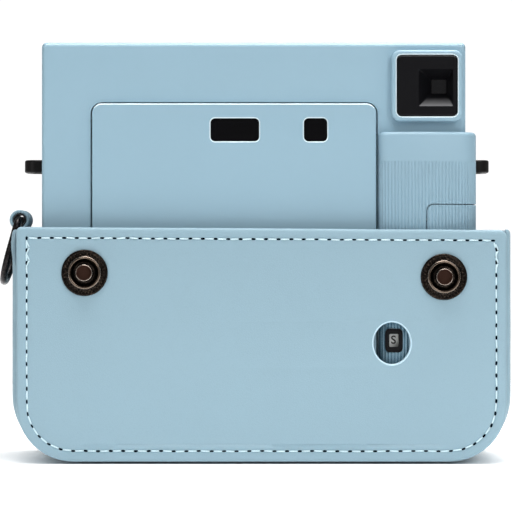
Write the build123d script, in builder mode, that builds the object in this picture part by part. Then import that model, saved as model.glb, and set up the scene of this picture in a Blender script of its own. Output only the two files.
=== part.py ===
from build123d import *
import os
from math import acos, cos, pi, radians, sin, tan

# Instant camera standing in the lower half of its leather case, in millimetres.
# Origin: on the floor under the middle of the case. +X is the grip side, +Y is the side of the
# lens, +Z is up. The case is the root; the camera lifts out of it along +Z.

os.makedirs("parts", exist_ok=True)

# ---------------------------------------------------------------- driving dimensions

# Half case
CASE_HALF_WIDTH = 75.5
CASE_HALF_DEPTH = 25.75
CASE_TOP = 69.5
PANEL_THICK = 2.5
PANEL_HALF_WIDTH = 72.9
PANEL_BOTTOM = 0.5
PANEL_CORNER = 17.0
GUSSET_THICK = 3.0
GUSSET_CORNER = 19.6
SEWING_FLANGE = 3.0
FLANGE_THICK = 0.8
LEAN_START = 60.5            # above this height the left side wall leans in
LEAN_IN = 2.4                # how far it leans in at the top edge
BOARD_THICK = 1.4
PEEP_CENTRE = (38.7, 35.7)
PEEP_RADII = (5.45, 6.2)
LENS_NOTCH_RADIUS = 34.0

# Snap studs on the back panel
STUD_SPOTS = {"left": (-52.5, 56.6), "right": (54.1, 55.4)}
STUD_FLANGE_RADIUS = 6.9
STUD_FLANGE_THICK = 0.8
STUD_RIDGE_RADII = (4.7, 3.6)
STUD_RIDGE_HEIGHT = 1.5
STUD_POST_RADIUS = 2.4
STUD_BORE_RADIUS = 1.5
STUD_RIVET_RADIUS = 1.35
STUD_HEIGHT = 3.5

# D-ring and its leather tab
TAB_X = -73.8
TAB_Z = 72.6
TAB_OUTER_RADIUS = 3.1
TAB_BORE_RADIUS = 1.7
TAB_WIDTH = 12.0
RING_WIRE_RADIUS = 1.1
RING_HALF_WIDTH = 9.5
RING_LENGTH = 19.5
RING_LEAN = 15.6             # degrees outward from straight down

# Camera body
BODY_LEFT = -66.0
BODY_RIGHT = 61.3
BODY_BACK = -17.75
BODY_FRONT = 22.25
BODY_BOTTOM = 7.1
BODY_TOP = 125.7
BODY_SPLIT = 4.0             # the rear and front covers meet at this depth
SHELL = 2.5
EDGE_ROUND = 1.4

# Film door
DOOR_X = (-50.8, 34.4)
DOOR_Z = (13.0, 107.3)
DOOR_PROUD = 1.6
DOOR_CORNER = 3.0
DOOR_GAP = 0.45
DOOR_SKIN = 2.2
WINDOW_Z = 99.4
WINDOW_DEPTH = 0.4           # the window plates lie this far below the door's face
WINDOW_CORNER = 1.4
WINDOW_RIM = 0.3             # chamfer round each window
WINDOW_GAP = 0.1
WIDE_WINDOW = (-8.0, 14.6, 6.95)
SQUARE_WINDOW = (16.2, 7.0, 7.0)
DOOR_HOLLOW = (4.5, 6.0)     # the door's thick rim beside the hinge and beside the latch
HINGE_X = -48.8
HINGE_Y = -16.5
HINGE_RADIUS = 0.75
LATCH_X = 30.6
LATCH_Z = (52.0, 62.0)
LATCH_WIDTH = 3.6
LATCH_TRAVEL = 3.0

# Viewfinder
FINDER = (49.55, 112.55)
FINDER_FRAME = 21.3
FINDER_PROUD = 3.0
FINDER_RIM = 0.3
FINDER_PLATE = (17.9, 18.1)
FUNNEL_OUTER = (47.0, 57.3, 106.4, 117.5)
FUNNEL_INNER = (51.1, 55.6, 110.4, 114.7)
FUNNEL_DEPTH = 4.6

# Grip
GRIP_LEFT = 35.2
GRIP_RIGHT = 64.6
GRIP_TOP = 98.7
GRIP_BULGE = 5.0
GRIP_FRONT = 1.0             # the grip ends at this depth on the body's side
GRIP_WALL = 2.0
GRIP_CREST_X = 47.5          # the grip's back face is deepest here
GRIP_FALL = (1.7, 3.4)       # how far the back face falls away at its left and right ends
GRIP_CORNERS = (2.4, 4.8)
GRIP_TOP_ROUND = 1.2
COVER_LEFT = 49.4
COVER_Z = (16.0, 76.9)
COVER_GAP = 0.25
COVER_TRAVEL = 3.5
COUNTER = (39.5, 36.4)
COUNTER_WINDOW = (5.0, 6.9)
COUNTER_TILE = (2.8, 3.9)
DIAL_X = 46.0
DIAL_RADIUS = 8.2
DIAL_POST = 1.5
DIAL_Y = (-19.3, -18.5)

# Lens and shutter
LENS = (-8.2, 62.0)
LENS_RING_RADIUS = 30.0
LENS_RING_BORE = 26.75
LENS_MOUNT_RADIUS = 26.7
BARREL_RADIUS = 22.5
APERTURE_RADIUS = 8.0
SHUTTER_Y = 14.5
BLADE_THICK = 0.3

# Film pack, chamber and exit
PACK_X = (-47.2, 30.8)
PACK_Y = (-14.6, -1.6)
PACK_Z = (15.5, 103.5)
CHAMBER_CLEAR = 0.6
CHAMBER_WALL = 1.5
PICTURE = 62.5
FILM_Y = -2.0

# Rollers and their gears
ROLLER_Z = 114.0
ROLLER_X = (-46.0, 29.6)
ROLLER_RADIUS = 3.9
ROLLER_SHAFT = 1.5
SHAFT_CLEAR = 0.05
GEAR_MODULE = 0.5
GEAR_X = (-53.5, -50.5)
DRIVE_TEETH = 16
IDLER_TEETH = 24
PINION_TEETH = 12
IDLER_POST = 1.5
MOTOR_RADIUS = 6.0
IDLER_DIRECTION = -20.0      # degrees, from the drive roller to the idler, seen with +Y right
PINION_DIRECTION = -80.0     # degrees, from the idler to the motor
BACKLASH = 0.10
ADDENDUM = 0.8               # in modules
DEDENDUM = 1.15
PRESSURE_ANGLE = 20.0

# Battery cells, two in line
CELL_RADIUS = 7.75
CELL_LENGTH = 27.0
CELL_AXIS = (50.5, -7.0)
CELL_BOTTOMS = (16.0, 45.0)

# Strap lugs
LUG_Z = 89.3
LUG_HEIGHT = 4.0
LUG_Y = 9.5
LUG_WIDTH = 12.0
LUG_WIRE = 2.2
LUG_ROUND = 0.6
LUG_REACH = {"left": -73.4, "right": 70.6}


# ---------------------------------------------------------------- shared helpers

def at_depth(y):
    """Sketch plane facing -Y at depth y: sketch x is +X, sketch y is +Z."""
    return Plane.XZ.offset(-y)


def at_side(x):
    """Sketch plane facing +X at x: sketch x is +Y, sketch y is +Z."""
    return Plane.YZ.offset(x)


def block(x, y, z, mode=Mode.ADD):
    """Box between two limits on each axis, in the part being built."""
    with Locations(((x[0] + x[1]) / 2, (y[0] + y[1]) / 2, (z[0] + z[1]) / 2)):
        Box(x[1] - x[0], y[1] - y[0], z[1] - z[0], mode=mode)


def rod_along_y(x, z, radius, y, mode=Mode.ADD):
    """Cylinder along Y between two depths."""
    with Locations(Location((x, (y[0] + y[1]) / 2, z), (90, 0, 0))):
        Cylinder(radius, y[1] - y[0], mode=mode)


def rod_along_x(y, z, radius, x, mode=Mode.ADD):
    """Cylinder along X between two limits."""
    with Locations(Location(((x[0] + x[1]) / 2, y, z), (0, 90, 0))):
        Cylinder(radius, x[1] - x[0], mode=mode)


def rod_along_z(x, y, radius, z, mode=Mode.ADD):
    """Cylinder along Z between two heights."""
    with Locations((x, y, (z[0] + z[1]) / 2)):
        Cylinder(radius, z[1] - z[0], mode=mode)


def save(piece, name):
    """Label a finished part and write it as its own STEP file."""
    piece.part.label = name
    export_step(piece.part, f"parts/{name}.step")


# ---------------------------------------------------------------- half case

def case_outline(half_width, bottom, corner, lean=0.0):
    """U-shaped outline, open far above the case, as a sketch in the XZ plane.

    With lean, the left side slopes in above LEAN_START by that much at CASE_TOP.
    """
    top = CASE_TOP + 20
    slope = lean / (CASE_TOP - LEAN_START)
    with BuildSketch() as outline:
        with BuildLine():
            floor = Line((-half_width + corner, bottom), (half_width - corner, bottom))
            right = TangentArc(floor @ 1, (half_width, bottom + corner), tangent=(1, 0))
            right_side = Line(right @ 1, (half_width, top))
            lid = Line(right_side @ 1, (-half_width + slope * (top - LEAN_START), top))
            kink = Line(lid @ 1, (-half_width, LEAN_START))
            left_side = Line(kink @ 1, (-half_width, bottom + corner))
            TangentArc(left_side @ 1, floor @ 0, tangent=(0, -1))
        make_face()
    return outline.sketch


def case_panel(y_outer, y_inner):
    """Flat leather panel between two depths, trimmed at the case's top edge."""
    with BuildPart() as panel:
        with BuildSketch(at_depth(y_outer)):
            add(case_outline(PANEL_HALF_WIDTH, PANEL_BOTTOM, PANEL_CORNER))
        extrude(amount=y_outer - y_inner)
        split(bisect_by=Plane.XY.offset(CASE_TOP), keep=Keep.BOTTOM)
    return panel.part


PANEL_INNER = CASE_HALF_DEPTH - PANEL_THICK

# Back panel, with the oval hole over the frame counter and sockets for the stud rivets
RIVET_RADIUS = 4.4
RIVET_THICK = 0.9
with BuildPart() as case_back_panel:
    add(case_panel(-CASE_HALF_DEPTH, -PANEL_INNER))
    with BuildSketch(at_depth(-CASE_HALF_DEPTH)):
        with Locations(PEEP_CENTRE):
            Ellipse(*PEEP_RADII)
    extrude(amount=-PANEL_THICK, mode=Mode.SUBTRACT)
    for spot in STUD_SPOTS.values():
        rod_along_y(*spot, RIVET_RADIUS, (-PANEL_INNER - RIVET_THICK, -PANEL_INNER), Mode.SUBTRACT)
        rod_along_y(*spot, STUD_RIVET_RADIUS + SHAFT_CLEAR, (-CASE_HALF_DEPTH, -PANEL_INNER),
                    Mode.SUBTRACT)
save(case_back_panel, "case_back_panel")

# Front panel, notched for the lens from above
with BuildPart() as case_front_panel:
    add(case_panel(CASE_HALF_DEPTH, PANEL_INNER))
    rod_along_y(*LENS, LENS_NOTCH_RADIUS, (PANEL_INNER, CASE_HALF_DEPTH), Mode.SUBTRACT)
    block((LENS[0] - LENS_NOTCH_RADIUS, LENS[0] + LENS_NOTCH_RADIUS),
          (PANEL_INNER, CASE_HALF_DEPTH), (LENS[1], CASE_TOP), Mode.SUBTRACT)
save(case_front_panel, "case_front_panel")


def gusset_layer(inset, y, mode):
    """The gusset's outline pulled in by inset, extruded between two depths, in the part being built."""
    layer = offset(case_outline(CASE_HALF_WIDTH, 0, GUSSET_CORNER, LEAN_IN), amount=-inset,
                   kind=Kind.INTERSECTION, mode=Mode.PRIVATE)
    solid = extrude(at_depth(y[0]) * layer, amount=y[0] - y[1], mode=Mode.PRIVATE)
    add(solid, mode=mode)


# Gusset: one strip round both sides and the bottom, with its edges turned in for the seams
with BuildPart() as case_gusset:
    gusset_layer(0, (-PANEL_INNER, PANEL_INNER), Mode.ADD)
    gusset_layer(GUSSET_THICK, (-PANEL_INNER + FLANGE_THICK, PANEL_INNER - FLANGE_THICK),
                 Mode.SUBTRACT)
    gusset_layer(GUSSET_THICK + SEWING_FLANGE, (-PANEL_INNER, PANEL_INNER), Mode.SUBTRACT)
    split(bisect_by=Plane.XY.offset(CASE_TOP), keep=Keep.BOTTOM)
save(case_gusset, "case_gusset")

# Stiff base board and the foam pad that the camera stands on
BOARD_TOP = GUSSET_THICK + BOARD_THICK
with BuildPart() as case_base_board:
    block((-54, 54), (-21.5, 21.5), (GUSSET_THICK, BOARD_TOP))
    fillet(case_base_board.edges().filter_by(Axis.Z), 3)
save(case_base_board, "case_base_board")

with BuildPart() as case_pad:
    block((-57, 57), (-21, 21), (BOARD_TOP, BODY_BOTTOM))
    fillet(case_pad.edges().filter_by(Axis.Z), 4)
    fillet(case_pad.faces().sort_by(Axis.Z)[-1].edges(), 0.8)
save(case_pad, "case_pad")


def snap_stud(x, z):
    """Snap fastener post: flange with a raised ridge and a hollow post, riveted through the panel."""
    face = -CASE_HALF_DEPTH
    flange_top = face - STUD_FLANGE_THICK
    ridge_top = face - STUD_RIDGE_HEIGHT
    with BuildPart() as stud:
        rod_along_y(x, z, STUD_FLANGE_RADIUS, (flange_top, face))
        fillet(stud.faces().sort_by(Axis.Y)[0].edges(), 0.35)
        rod_along_y(x, z, STUD_RIDGE_RADII[0], (ridge_top, flange_top))
        fillet(stud.faces().sort_by(Axis.Y)[0].edges(), 0.5)
        rod_along_y(x, z, STUD_RIDGE_RADII[1], (ridge_top, flange_top + 0.2), Mode.SUBTRACT)
        rod_along_y(x, z, STUD_POST_RADIUS, (face - STUD_HEIGHT, face - 0.5))
        rod_along_y(x, z, STUD_BORE_RADIUS, (face - STUD_HEIGHT, face - 1.0), Mode.SUBTRACT)
        rod_along_y(x, z, STUD_RIVET_RADIUS, (face - 0.5, -PANEL_INNER - RIVET_THICK))
    return stud.part


# Two snap studs, each with a flat cap sunk in the panel's inner face
with BuildPart() as snap_studs:
    for spot in STUD_SPOTS.values():
        add(snap_stud(*spot))
        rod_along_y(*spot, RIVET_RADIUS - 0.1, (-PANEL_INNER - RIVET_THICK, -PANEL_INNER - 0.1))
save(snap_studs, "snap_studs")

# Leather tab: a loop round the D-ring's bar, sewn into the top of the gusset
with BuildPart() as d_ring_tab:
    with BuildSketch(at_depth(-TAB_WIDTH / 2)):
        with Locations((TAB_X, TAB_Z)):
            Circle(TAB_OUTER_RADIUS)
        with BuildLine():
            Polyline((-72.9, CASE_TOP), (-70.9, CASE_TOP), (-70.9, TAB_Z), (-72.9, TAB_Z),
                     close=True)
        make_face()
        with Locations((TAB_X, TAB_Z)):
            Circle(TAB_BORE_RADIUS, mode=Mode.SUBTRACT)
    extrude(amount=-TAB_WIDTH)
save(d_ring_tab, "d_ring_tab")

# D-ring: a straight bar along Y in the tab and a round bow that hangs outside the case
RING_PLANE = Plane(origin=(TAB_X, 0, TAB_Z), x_dir=(0, 1, 0),
                   z_dir=(-cos(radians(RING_LEAN)), 0, sin(radians(RING_LEAN))))
RING_CORNER = 3.0
with BuildPart() as d_ring:
    with BuildLine(RING_PLANE) as ring_path:
        bar = Line((-RING_HALF_WIDTH + RING_CORNER, 0), (RING_HALF_WIDTH - RING_CORNER, 0))
        bow_start = RING_LENGTH - RING_HALF_WIDTH
        right_corner = TangentArc(bar @ 1, (RING_HALF_WIDTH, RING_CORNER), tangent=bar % 1)
        right_leg = Line(right_corner @ 1, (RING_HALF_WIDTH, bow_start))
        bow = ThreePointArc(right_leg @ 1, (0, RING_LENGTH), (-RING_HALF_WIDTH, bow_start))
        left_leg = Line(bow @ 1, (-RING_HALF_WIDTH, RING_CORNER))
        TangentArc(left_leg @ 1, bar @ 0, tangent=left_leg % 1)
    with BuildSketch(Plane(origin=ring_path.wire() @ 0, z_dir=ring_path.wire() % 0)):
        Circle(RING_WIRE_RADIUS)
    sweep()
save(d_ring, "d_ring")


# ---------------------------------------------------------------- camera covers

def door_opening(margin):
    """Film door outline grown by margin, as a sketch."""
    width = DOOR_X[1] - DOOR_X[0]
    height = DOOR_Z[1] - DOOR_Z[0]
    with BuildSketch() as opening:
        with Locations((sum(DOOR_X) / 2, sum(DOOR_Z) / 2)):
            RectangleRounded(width + 2 * margin, height + 2 * margin, DOOR_CORNER + margin)
    return opening.sketch


def window_outlines(gap):
    """Both window openings of the door, made smaller by gap, as a sketch."""
    with BuildSketch() as windows:
        for x, width, height in (WIDE_WINDOW, SQUARE_WINDOW):
            with Locations((x, WINDOW_Z)):
                RectangleRounded(width - gap, height - gap, WINDOW_CORNER - gap / 2)
    return windows.sketch


def cover_shell(y, open_end):
    """Half of the body shell between two depths, open at the end where the halves meet."""
    with BuildPart() as shell:
        block((BODY_LEFT, BODY_RIGHT), y, (BODY_BOTTOM, BODY_TOP))
        closed_face = shell.faces().sort_by(Axis.Y)[0 if open_end > sum(y) / 2 else -1]
        fillet(shell.edges().filter_by(Axis.Y) + closed_face.edges(), EDGE_ROUND)
        wall_y = (y[0] + SHELL, y[1]) if open_end == y[1] else (y[0], y[1] - SHELL)
        block((BODY_LEFT + SHELL, BODY_RIGHT - SHELL), wall_y,
              (BODY_BOTTOM + SHELL, BODY_TOP - SHELL), Mode.SUBTRACT)
    return shell.part


FINDER_HOLE = (18.3, 18.5)
WALL_INNER = BODY_BACK + SHELL
SCREW_SPOTS = [(-58.0, -8.0), (-58.0, -1.0), (33.0, 1.0), (56.0, 1.0)]
EXIT_Y = (-4.5, 0.5)
EXIT_X = (-50.0, 34.0)

# Rear cover: openings for the film door, the eyepiece, the battery cells and the film exit
with BuildPart() as rear_cover:
    add(cover_shell((BODY_BACK, BODY_SPLIT), BODY_SPLIT))
    with BuildSketch(at_depth(BODY_BACK)):
        add(door_opening(DOOR_GAP))
        with Locations(FINDER):
            RectangleRounded(*FINDER_HOLE, 1.6)
        with Locations((50.5, 44.0)):
            Rectangle(15.0, 58.0)
    extrude(amount=-SHELL, mode=Mode.SUBTRACT)
    block(EXIT_X, EXIT_Y, (BODY_TOP - SHELL, BODY_TOP), Mode.SUBTRACT)
    for x, y in SCREW_SPOTS:
        rod_along_z(x, y, 2.3, (BODY_BOTTOM, BODY_BOTTOM + 1.4), Mode.SUBTRACT)
        rod_along_z(x, y, 1.1, (BODY_BOTTOM, BODY_BOTTOM + SHELL), Mode.SUBTRACT)
    for z in (DOOR_Z[0] - DOOR_GAP - 2.8, DOOR_Z[1]):
        rod_along_z(HINGE_X, HINGE_Y, HINGE_RADIUS, (z, z + 3.25), Mode.SUBTRACT)
save(rear_cover, "rear_cover")

FRONT_INNER = BODY_FRONT - SHELL
BUTTON = (50.0, 90.0)
BUTTON_RADIUS = 5.2
BUTTON_PROUD = 2.2
FLASH_X = (-44.0, -18.0)
FLASH_Z = (109.5, 121.0)
FRONT_FINDER = (53.0, 112.5)
SENSOR_SPOTS = [(26.0, 114.0), (34.0, 114.0)]

# Front cover: openings for the lens, the shutter button, the flash, the finder and the sensors
with BuildPart() as front_cover:
    add(cover_shell((BODY_SPLIT, BODY_FRONT), BODY_SPLIT))
    with BuildSketch(at_depth(BODY_FRONT)):
        with Locations(LENS):
            Circle(LENS_MOUNT_RADIUS + 0.1)
        with Locations(BUTTON):
            Circle(BUTTON_RADIUS + 0.1)
        with Locations((sum(FLASH_X) / 2, sum(FLASH_Z) / 2)):
            RectangleRounded(FLASH_X[1] - FLASH_X[0], FLASH_Z[1] - FLASH_Z[0], 2)
        with Locations(FRONT_FINDER):
            RectangleRounded(11.0, 10.0, 1.5)
        with Locations(*SENSOR_SPOTS):
            Circle(2.1)
    extrude(amount=SHELL, mode=Mode.SUBTRACT)
save(front_cover, "front_cover")

# Trim plate round the film exit, on the top face
TRIM_THICK = 0.7
TRIM_TOP = BODY_TOP + TRIM_THICK
with BuildPart() as exit_trim:
    block((-62.0, 58.0), (-8.5, 3.5), (BODY_TOP, TRIM_TOP))
    fillet(exit_trim.edges().filter_by(Axis.Z), 2)
    fillet(exit_trim.faces().sort_by(Axis.Z)[-1].edges(), 0.3)
    block((EXIT_X[0], EXIT_X[1]), EXIT_Y, (BODY_TOP, TRIM_TOP), Mode.SUBTRACT)
save(exit_trim, "exit_trim")

# Light-tight flap in the exit, hinged along its front edge
FLAP_HINGE_Y = EXIT_Y[1] - 0.45
FLAP_Z = BODY_TOP + 0.3
with BuildPart() as exit_flap:
    block((EXIT_X[0] + 0.3, EXIT_X[1] - 0.3), (EXIT_Y[0] + 0.3, FLAP_HINGE_Y),
          (FLAP_Z - 0.2, FLAP_Z + 0.2))
    rod_along_x(FLAP_HINGE_Y, FLAP_Z, 0.3, (EXIT_X[0] + 0.3, EXIT_X[1] - 0.3))
save(exit_flap, "exit_flap")


def strap_lug(body_side, reach):
    """Flat metal loop that stands out of the body's side, its eye running up and down."""
    outward = 1 if reach > body_side else -1
    inner_reach = reach - outward * LUG_WIRE
    with BuildPart() as lug:
        with BuildSketch(Plane.XY.offset(LUG_Z - LUG_HEIGHT / 2)) as plan:
            with Locations(((body_side + reach) / 2, LUG_Y)):
                Rectangle(abs(reach - body_side), LUG_WIDTH)
            fillet(plan.vertices().sort_by(Axis.X)[-2:] if outward > 0
                   else plan.vertices().sort_by(Axis.X)[:2], 3.6)
            with Locations(((body_side + inner_reach) / 2, LUG_Y)):
                Rectangle(abs(inner_reach - body_side), LUG_WIDTH - 2 * LUG_WIRE,
                          mode=Mode.SUBTRACT)
        extrude(amount=LUG_HEIGHT)
        outer_face_edges = lug.edges().group_by(Axis.Z)[0] + lug.edges().group_by(Axis.Z)[-1]
        fillet(outer_face_edges.filter_by(lambda e: abs(e.center().X - body_side) > 0.01), LUG_ROUND)
        block((body_side - 1.5, body_side + 1.5), (LUG_Y - LUG_WIDTH / 2, LUG_Y + LUG_WIDTH / 2),
              (LUG_Z - LUG_HEIGHT / 2, LUG_Z + LUG_HEIGHT / 2))
        split(bisect_by=Plane.YZ.offset(body_side), keep=Keep.TOP if outward > 0 else Keep.BOTTOM)
    return lug


save(strap_lug(BODY_LEFT, LUG_REACH["left"]), "strap_lug_left")
save(strap_lug(BODY_RIGHT, LUG_REACH["right"]), "strap_lug_right")


# ---------------------------------------------------------------- grip and battery cover

def grip_plan(inset):
    """D-shaped plan of the grip pulled in by inset, closed through the camera body."""
    left = GRIP_LEFT + inset
    right = GRIP_RIGHT - inset
    back = BODY_BACK - GRIP_BULGE + inset
    front = GRIP_FRONT - inset
    with BuildSketch() as plan:
        with BuildLine():
            edge = Line((left, BODY_BACK + 3), (left, back + GRIP_FALL[0]))
            crown = ThreePointArc(edge @ 1, (GRIP_CREST_X, back), (right, back + GRIP_FALL[1]))
            side = Line(crown @ 1, (right, front - (GRIP_RIGHT - BODY_RIGHT)))
            Polyline(side @ 1, (BODY_RIGHT - inset, front), (BODY_RIGHT - 6, front),
                     (BODY_RIGHT - 6, BODY_BACK + 3), edge @ 0)
        make_face()
        back_corners = plan.vertices().sort_by(Axis.Y)
        fillet(back_corners[:2].sort_by(Axis.X)[0], GRIP_CORNERS[0] - 0.8 * inset)
        fillet(plan.vertices().sort_by(Axis.X)[-2:].sort_by(Axis.Y)[0], GRIP_CORNERS[1] - inset)
    return plan.sketch


def grip_column(z, inset=0.0, top_round=0.0):
    """The grip between two heights: its plan extruded, less the camera body that it wraps."""
    with BuildPart() as column:
        with BuildSketch(Plane.XY.offset(z[0])):
            add(grip_plan(inset))
        extrude(amount=z[1] - z[0])
        if top_round:
            fillet(column.faces().sort_by(Axis.Z)[-1].edges(), top_round)
        block((0, BODY_RIGHT), (BODY_BACK, BODY_FRONT), (z[0] - 1, z[1] + 1), Mode.SUBTRACT)
    return column


def cover_zone(margin, z_low, z_high):
    """Block that holds the battery cover, grown by margin at its left edge."""
    with BuildPart() as zone:
        block((COVER_LEFT - margin, GRIP_RIGHT + 5), (BODY_BACK - 10, GRIP_FRONT - 4.5 + margin),
              (z_low, z_high))
    return zone.part


cover_space_bottom = COVER_Z[0] - COVER_TRAVEL - COVER_GAP
with BuildPart() as grip_shell:
    add(grip_column((BODY_BOTTOM, GRIP_TOP), 0.0, GRIP_TOP_ROUND).part)
    add(grip_column((BODY_BOTTOM + GRIP_WALL, GRIP_TOP - GRIP_WALL), GRIP_WALL).part,
        mode=Mode.SUBTRACT)
    add(cover_zone(COVER_GAP, cover_space_bottom, COVER_Z[1] + COVER_GAP), mode=Mode.SUBTRACT)
    with BuildSketch(at_depth(BODY_BACK)):
        with Locations(COUNTER):
            RectangleRounded(COUNTER_WINDOW[0] + 0.1, COUNTER_WINDOW[1] + 0.1, 1.2)
    extrude(amount=2 * GRIP_BULGE, mode=Mode.SUBTRACT)
    rod_along_y(DIAL_X, COUNTER[1], 2.4, (BODY_BACK - GRIP_BULGE + 1, DIAL_Y[0] - 0.1))
    rod_along_y(DIAL_X, COUNTER[1], DIAL_POST, (BODY_BACK - GRIP_BULGE + 1, DIAL_Y[1] + 0.4))
save(grip_shell, "grip_shell")

with BuildPart() as battery_cover:
    add(grip_column(COVER_Z).part)
    add(grip_column(COVER_Z, GRIP_WALL).part, mode=Mode.SUBTRACT)
    add(cover_zone(0, *COVER_Z), mode=Mode.INTERSECT)
save(battery_cover, "battery_cover")


# Counter window: black plate with a small opening over the dial
WINDOW_Y = (-22.1, -20.6)
with BuildPart() as counter_window:
    with BuildSketch(at_depth(WINDOW_Y[1])):
        with Locations(COUNTER):
            RectangleRounded(*COUNTER_WINDOW, 1.15)
            RectangleRounded(*COUNTER_TILE, 0.4, mode=Mode.SUBTRACT)
    extrude(amount=WINDOW_Y[1] - WINDOW_Y[0])
save(counter_window, "counter_window")

# Counter dial, turning on the grip's inner post behind the window
with BuildPart() as counter_dial:
    rod_along_y(DIAL_X, COUNTER[1], DIAL_RADIUS, DIAL_Y)
    rod_along_y(DIAL_X, COUNTER[1], DIAL_POST + SHAFT_CLEAR, DIAL_Y, Mode.SUBTRACT)
save(counter_dial, "counter_dial")


# ---------------------------------------------------------------- film door

with BuildPart() as film_door:
    with BuildSketch(at_depth(BODY_BACK - DOOR_PROUD)):
        add(door_opening(0))
    extrude(amount=-(DOOR_PROUD + SHELL))
    fillet(film_door.faces().sort_by(Axis.Y)[0].edges(), 0.5)
    door_inside = WALL_INNER - (DOOR_PROUD + SHELL - DOOR_SKIN)
    block((DOOR_X[0] + DOOR_HOLLOW[0], DOOR_X[1] - DOOR_HOLLOW[1]), (door_inside, WALL_INNER),
          (DOOR_Z[0] + DOOR_HOLLOW[0], WINDOW_Z - DOOR_HOLLOW[1]), Mode.SUBTRACT)
    with BuildSketch(at_depth(WALL_INNER)):
        add(window_outlines(0))
        with Locations((LATCH_X, sum(LATCH_Z) / 2 + LATCH_TRAVEL / 2)):
            Rectangle(LATCH_WIDTH + 0.4, LATCH_Z[1] - LATCH_Z[0] + LATCH_TRAVEL + 0.4)
    extrude(amount=DOOR_PROUD + SHELL, mode=Mode.SUBTRACT)
    face_edges = film_door.edges().group_by(Axis.Y)[0]
    window_edges = face_edges.filter_by(lambda e: abs(e.center().Z - WINDOW_Z) < WIDE_WINDOW[2])
    chamfer(window_edges.filter_by(lambda e: abs(e.center().X - sum(DOOR_X) / 2) < PICTURE / 2),
            WINDOW_RIM)
    for z in (DOOR_Z[0], DOOR_Z[1] - 3.0):
        rod_along_z(HINGE_X, HINGE_Y, HINGE_RADIUS + SHAFT_CLEAR, (z, z + 3.0), Mode.SUBTRACT)
save(film_door, "film_door")


# Dark clear plates that fill the door's two windows, a little below its face
with BuildPart() as door_windows:
    with BuildSketch(at_depth(BODY_BACK)):
        add(window_outlines(WINDOW_GAP))
    extrude(amount=DOOR_PROUD - WINDOW_DEPTH)
save(door_windows, "door_windows")

# Hinge pins: one at each end of the door's left edge, from the rear cover into the door
with BuildPart() as door_hinge_pins:
    rod_along_z(HINGE_X, HINGE_Y, HINGE_RADIUS, (DOOR_Z[0] - 3.2, DOOR_Z[0] + 2.8))
    rod_along_z(HINGE_X, HINGE_Y, HINGE_RADIUS, (DOOR_Z[1] - 2.8, DOOR_Z[1] + 3.2))
save(door_hinge_pins, "door_hinge_pins")

# Sliding latch in the door's free edge
with BuildPart() as door_latch:
    latch_x = (LATCH_X - LATCH_WIDTH / 2, LATCH_X + LATCH_WIDTH / 2)
    block(latch_x, (BODY_BACK - DOOR_PROUD - 0.4, WALL_INNER), LATCH_Z)
    for rib in range(5):
        z = LATCH_Z[0] + 3 + rib
        block(latch_x, (BODY_BACK - DOOR_PROUD - 0.9, BODY_BACK - DOOR_PROUD - 0.4), (z, z + 0.5))
save(door_latch, "door_latch")

# Foam seal between the door and the chamber
SEAL_Y = (WALL_INNER, WALL_INNER + 0.5)
with BuildPart() as door_seal:
    block((DOOR_X[0] + 0.5, DOOR_X[1] - 0.5), SEAL_Y, (DOOR_Z[0] + 0.5, DOOR_Z[1] - 0.5))
    block((DOOR_X[0] + 3.0, DOOR_X[1] - 1.2), SEAL_Y, (DOOR_Z[0] + 2.0, DOOR_Z[1] - 2.0),
          Mode.SUBTRACT)
save(door_seal, "door_seal")

# Two leaf springs on the door, bowed towards the film pack
with BuildPart() as door_springs:
    for x in (-28.0, 12.0):
        with BuildSketch(at_side(x - 4)):
            with BuildLine():
                foot = Line((door_inside + 0.4, 30), (door_inside + 0.4, 34))
                bowed = ThreePointArc(foot @ 1, (PACK_Y[0] - 0.5, 55), (door_inside + 0.4, 76))
                Line(bowed @ 1, (door_inside + 0.4, 80))
                offset(amount=0.2)
            make_face()
        extrude(amount=8)
save(door_springs, "door_springs")


# ---------------------------------------------------------------- viewfinder

with BuildPart() as viewfinder_frame:
    with BuildSketch(at_depth(BODY_BACK)):
        with Locations(FINDER):
            RectangleRounded(FINDER_FRAME, FINDER_FRAME, 2.6)
    extrude(amount=FINDER_PROUD)
    fillet(viewfinder_frame.faces().sort_by(Axis.Y)[0].edges(), 0.8)
    with BuildSketch(at_depth(BODY_BACK)):
        with Locations(FINDER):
            RectangleRounded(*FINDER_HOLE, 1.6)
    extrude(amount=FINDER_PROUD, mode=Mode.SUBTRACT)
    chamfer(viewfinder_frame.faces().sort_by(Axis.Y)[0].inner_wires()[0].edges(), FINDER_RIM)
save(viewfinder_frame, "viewfinder_frame")


def funnel_mouth(limits):
    """Rectangle between X and Z limits, as a sketch."""
    left, right, low, high = limits
    with BuildSketch() as mouth:
        with Locations(((left + right) / 2, (low + high) / 2)):
            RectangleRounded(right - left, high - low, 0.4)
    return mouth.sketch


EYEPIECE_FACE = BODY_BACK - FINDER_PROUD + 0.2
with BuildPart() as eyepiece:
    with BuildSketch(at_depth(WALL_INNER)):
        with Locations(FINDER):
            RectangleRounded(*FINDER_PLATE, 1.4)
    extrude(amount=WALL_INNER - EYEPIECE_FACE)
    fillet(eyepiece.faces().sort_by(Axis.Y)[0].edges(), 0.5)
    with BuildSketch(at_depth(EYEPIECE_FACE)):
        add(funnel_mouth(FUNNEL_OUTER))
    with BuildSketch(at_depth(EYEPIECE_FACE + FUNNEL_DEPTH)):
        add(funnel_mouth(FUNNEL_INNER))
    loft(mode=Mode.SUBTRACT)
    with BuildSketch(at_depth(WALL_INNER)):
        add(funnel_mouth(FUNNEL_INNER))
    extrude(amount=WALL_INNER - EYEPIECE_FACE, mode=Mode.SUBTRACT)
save(eyepiece, "eyepiece")

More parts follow.
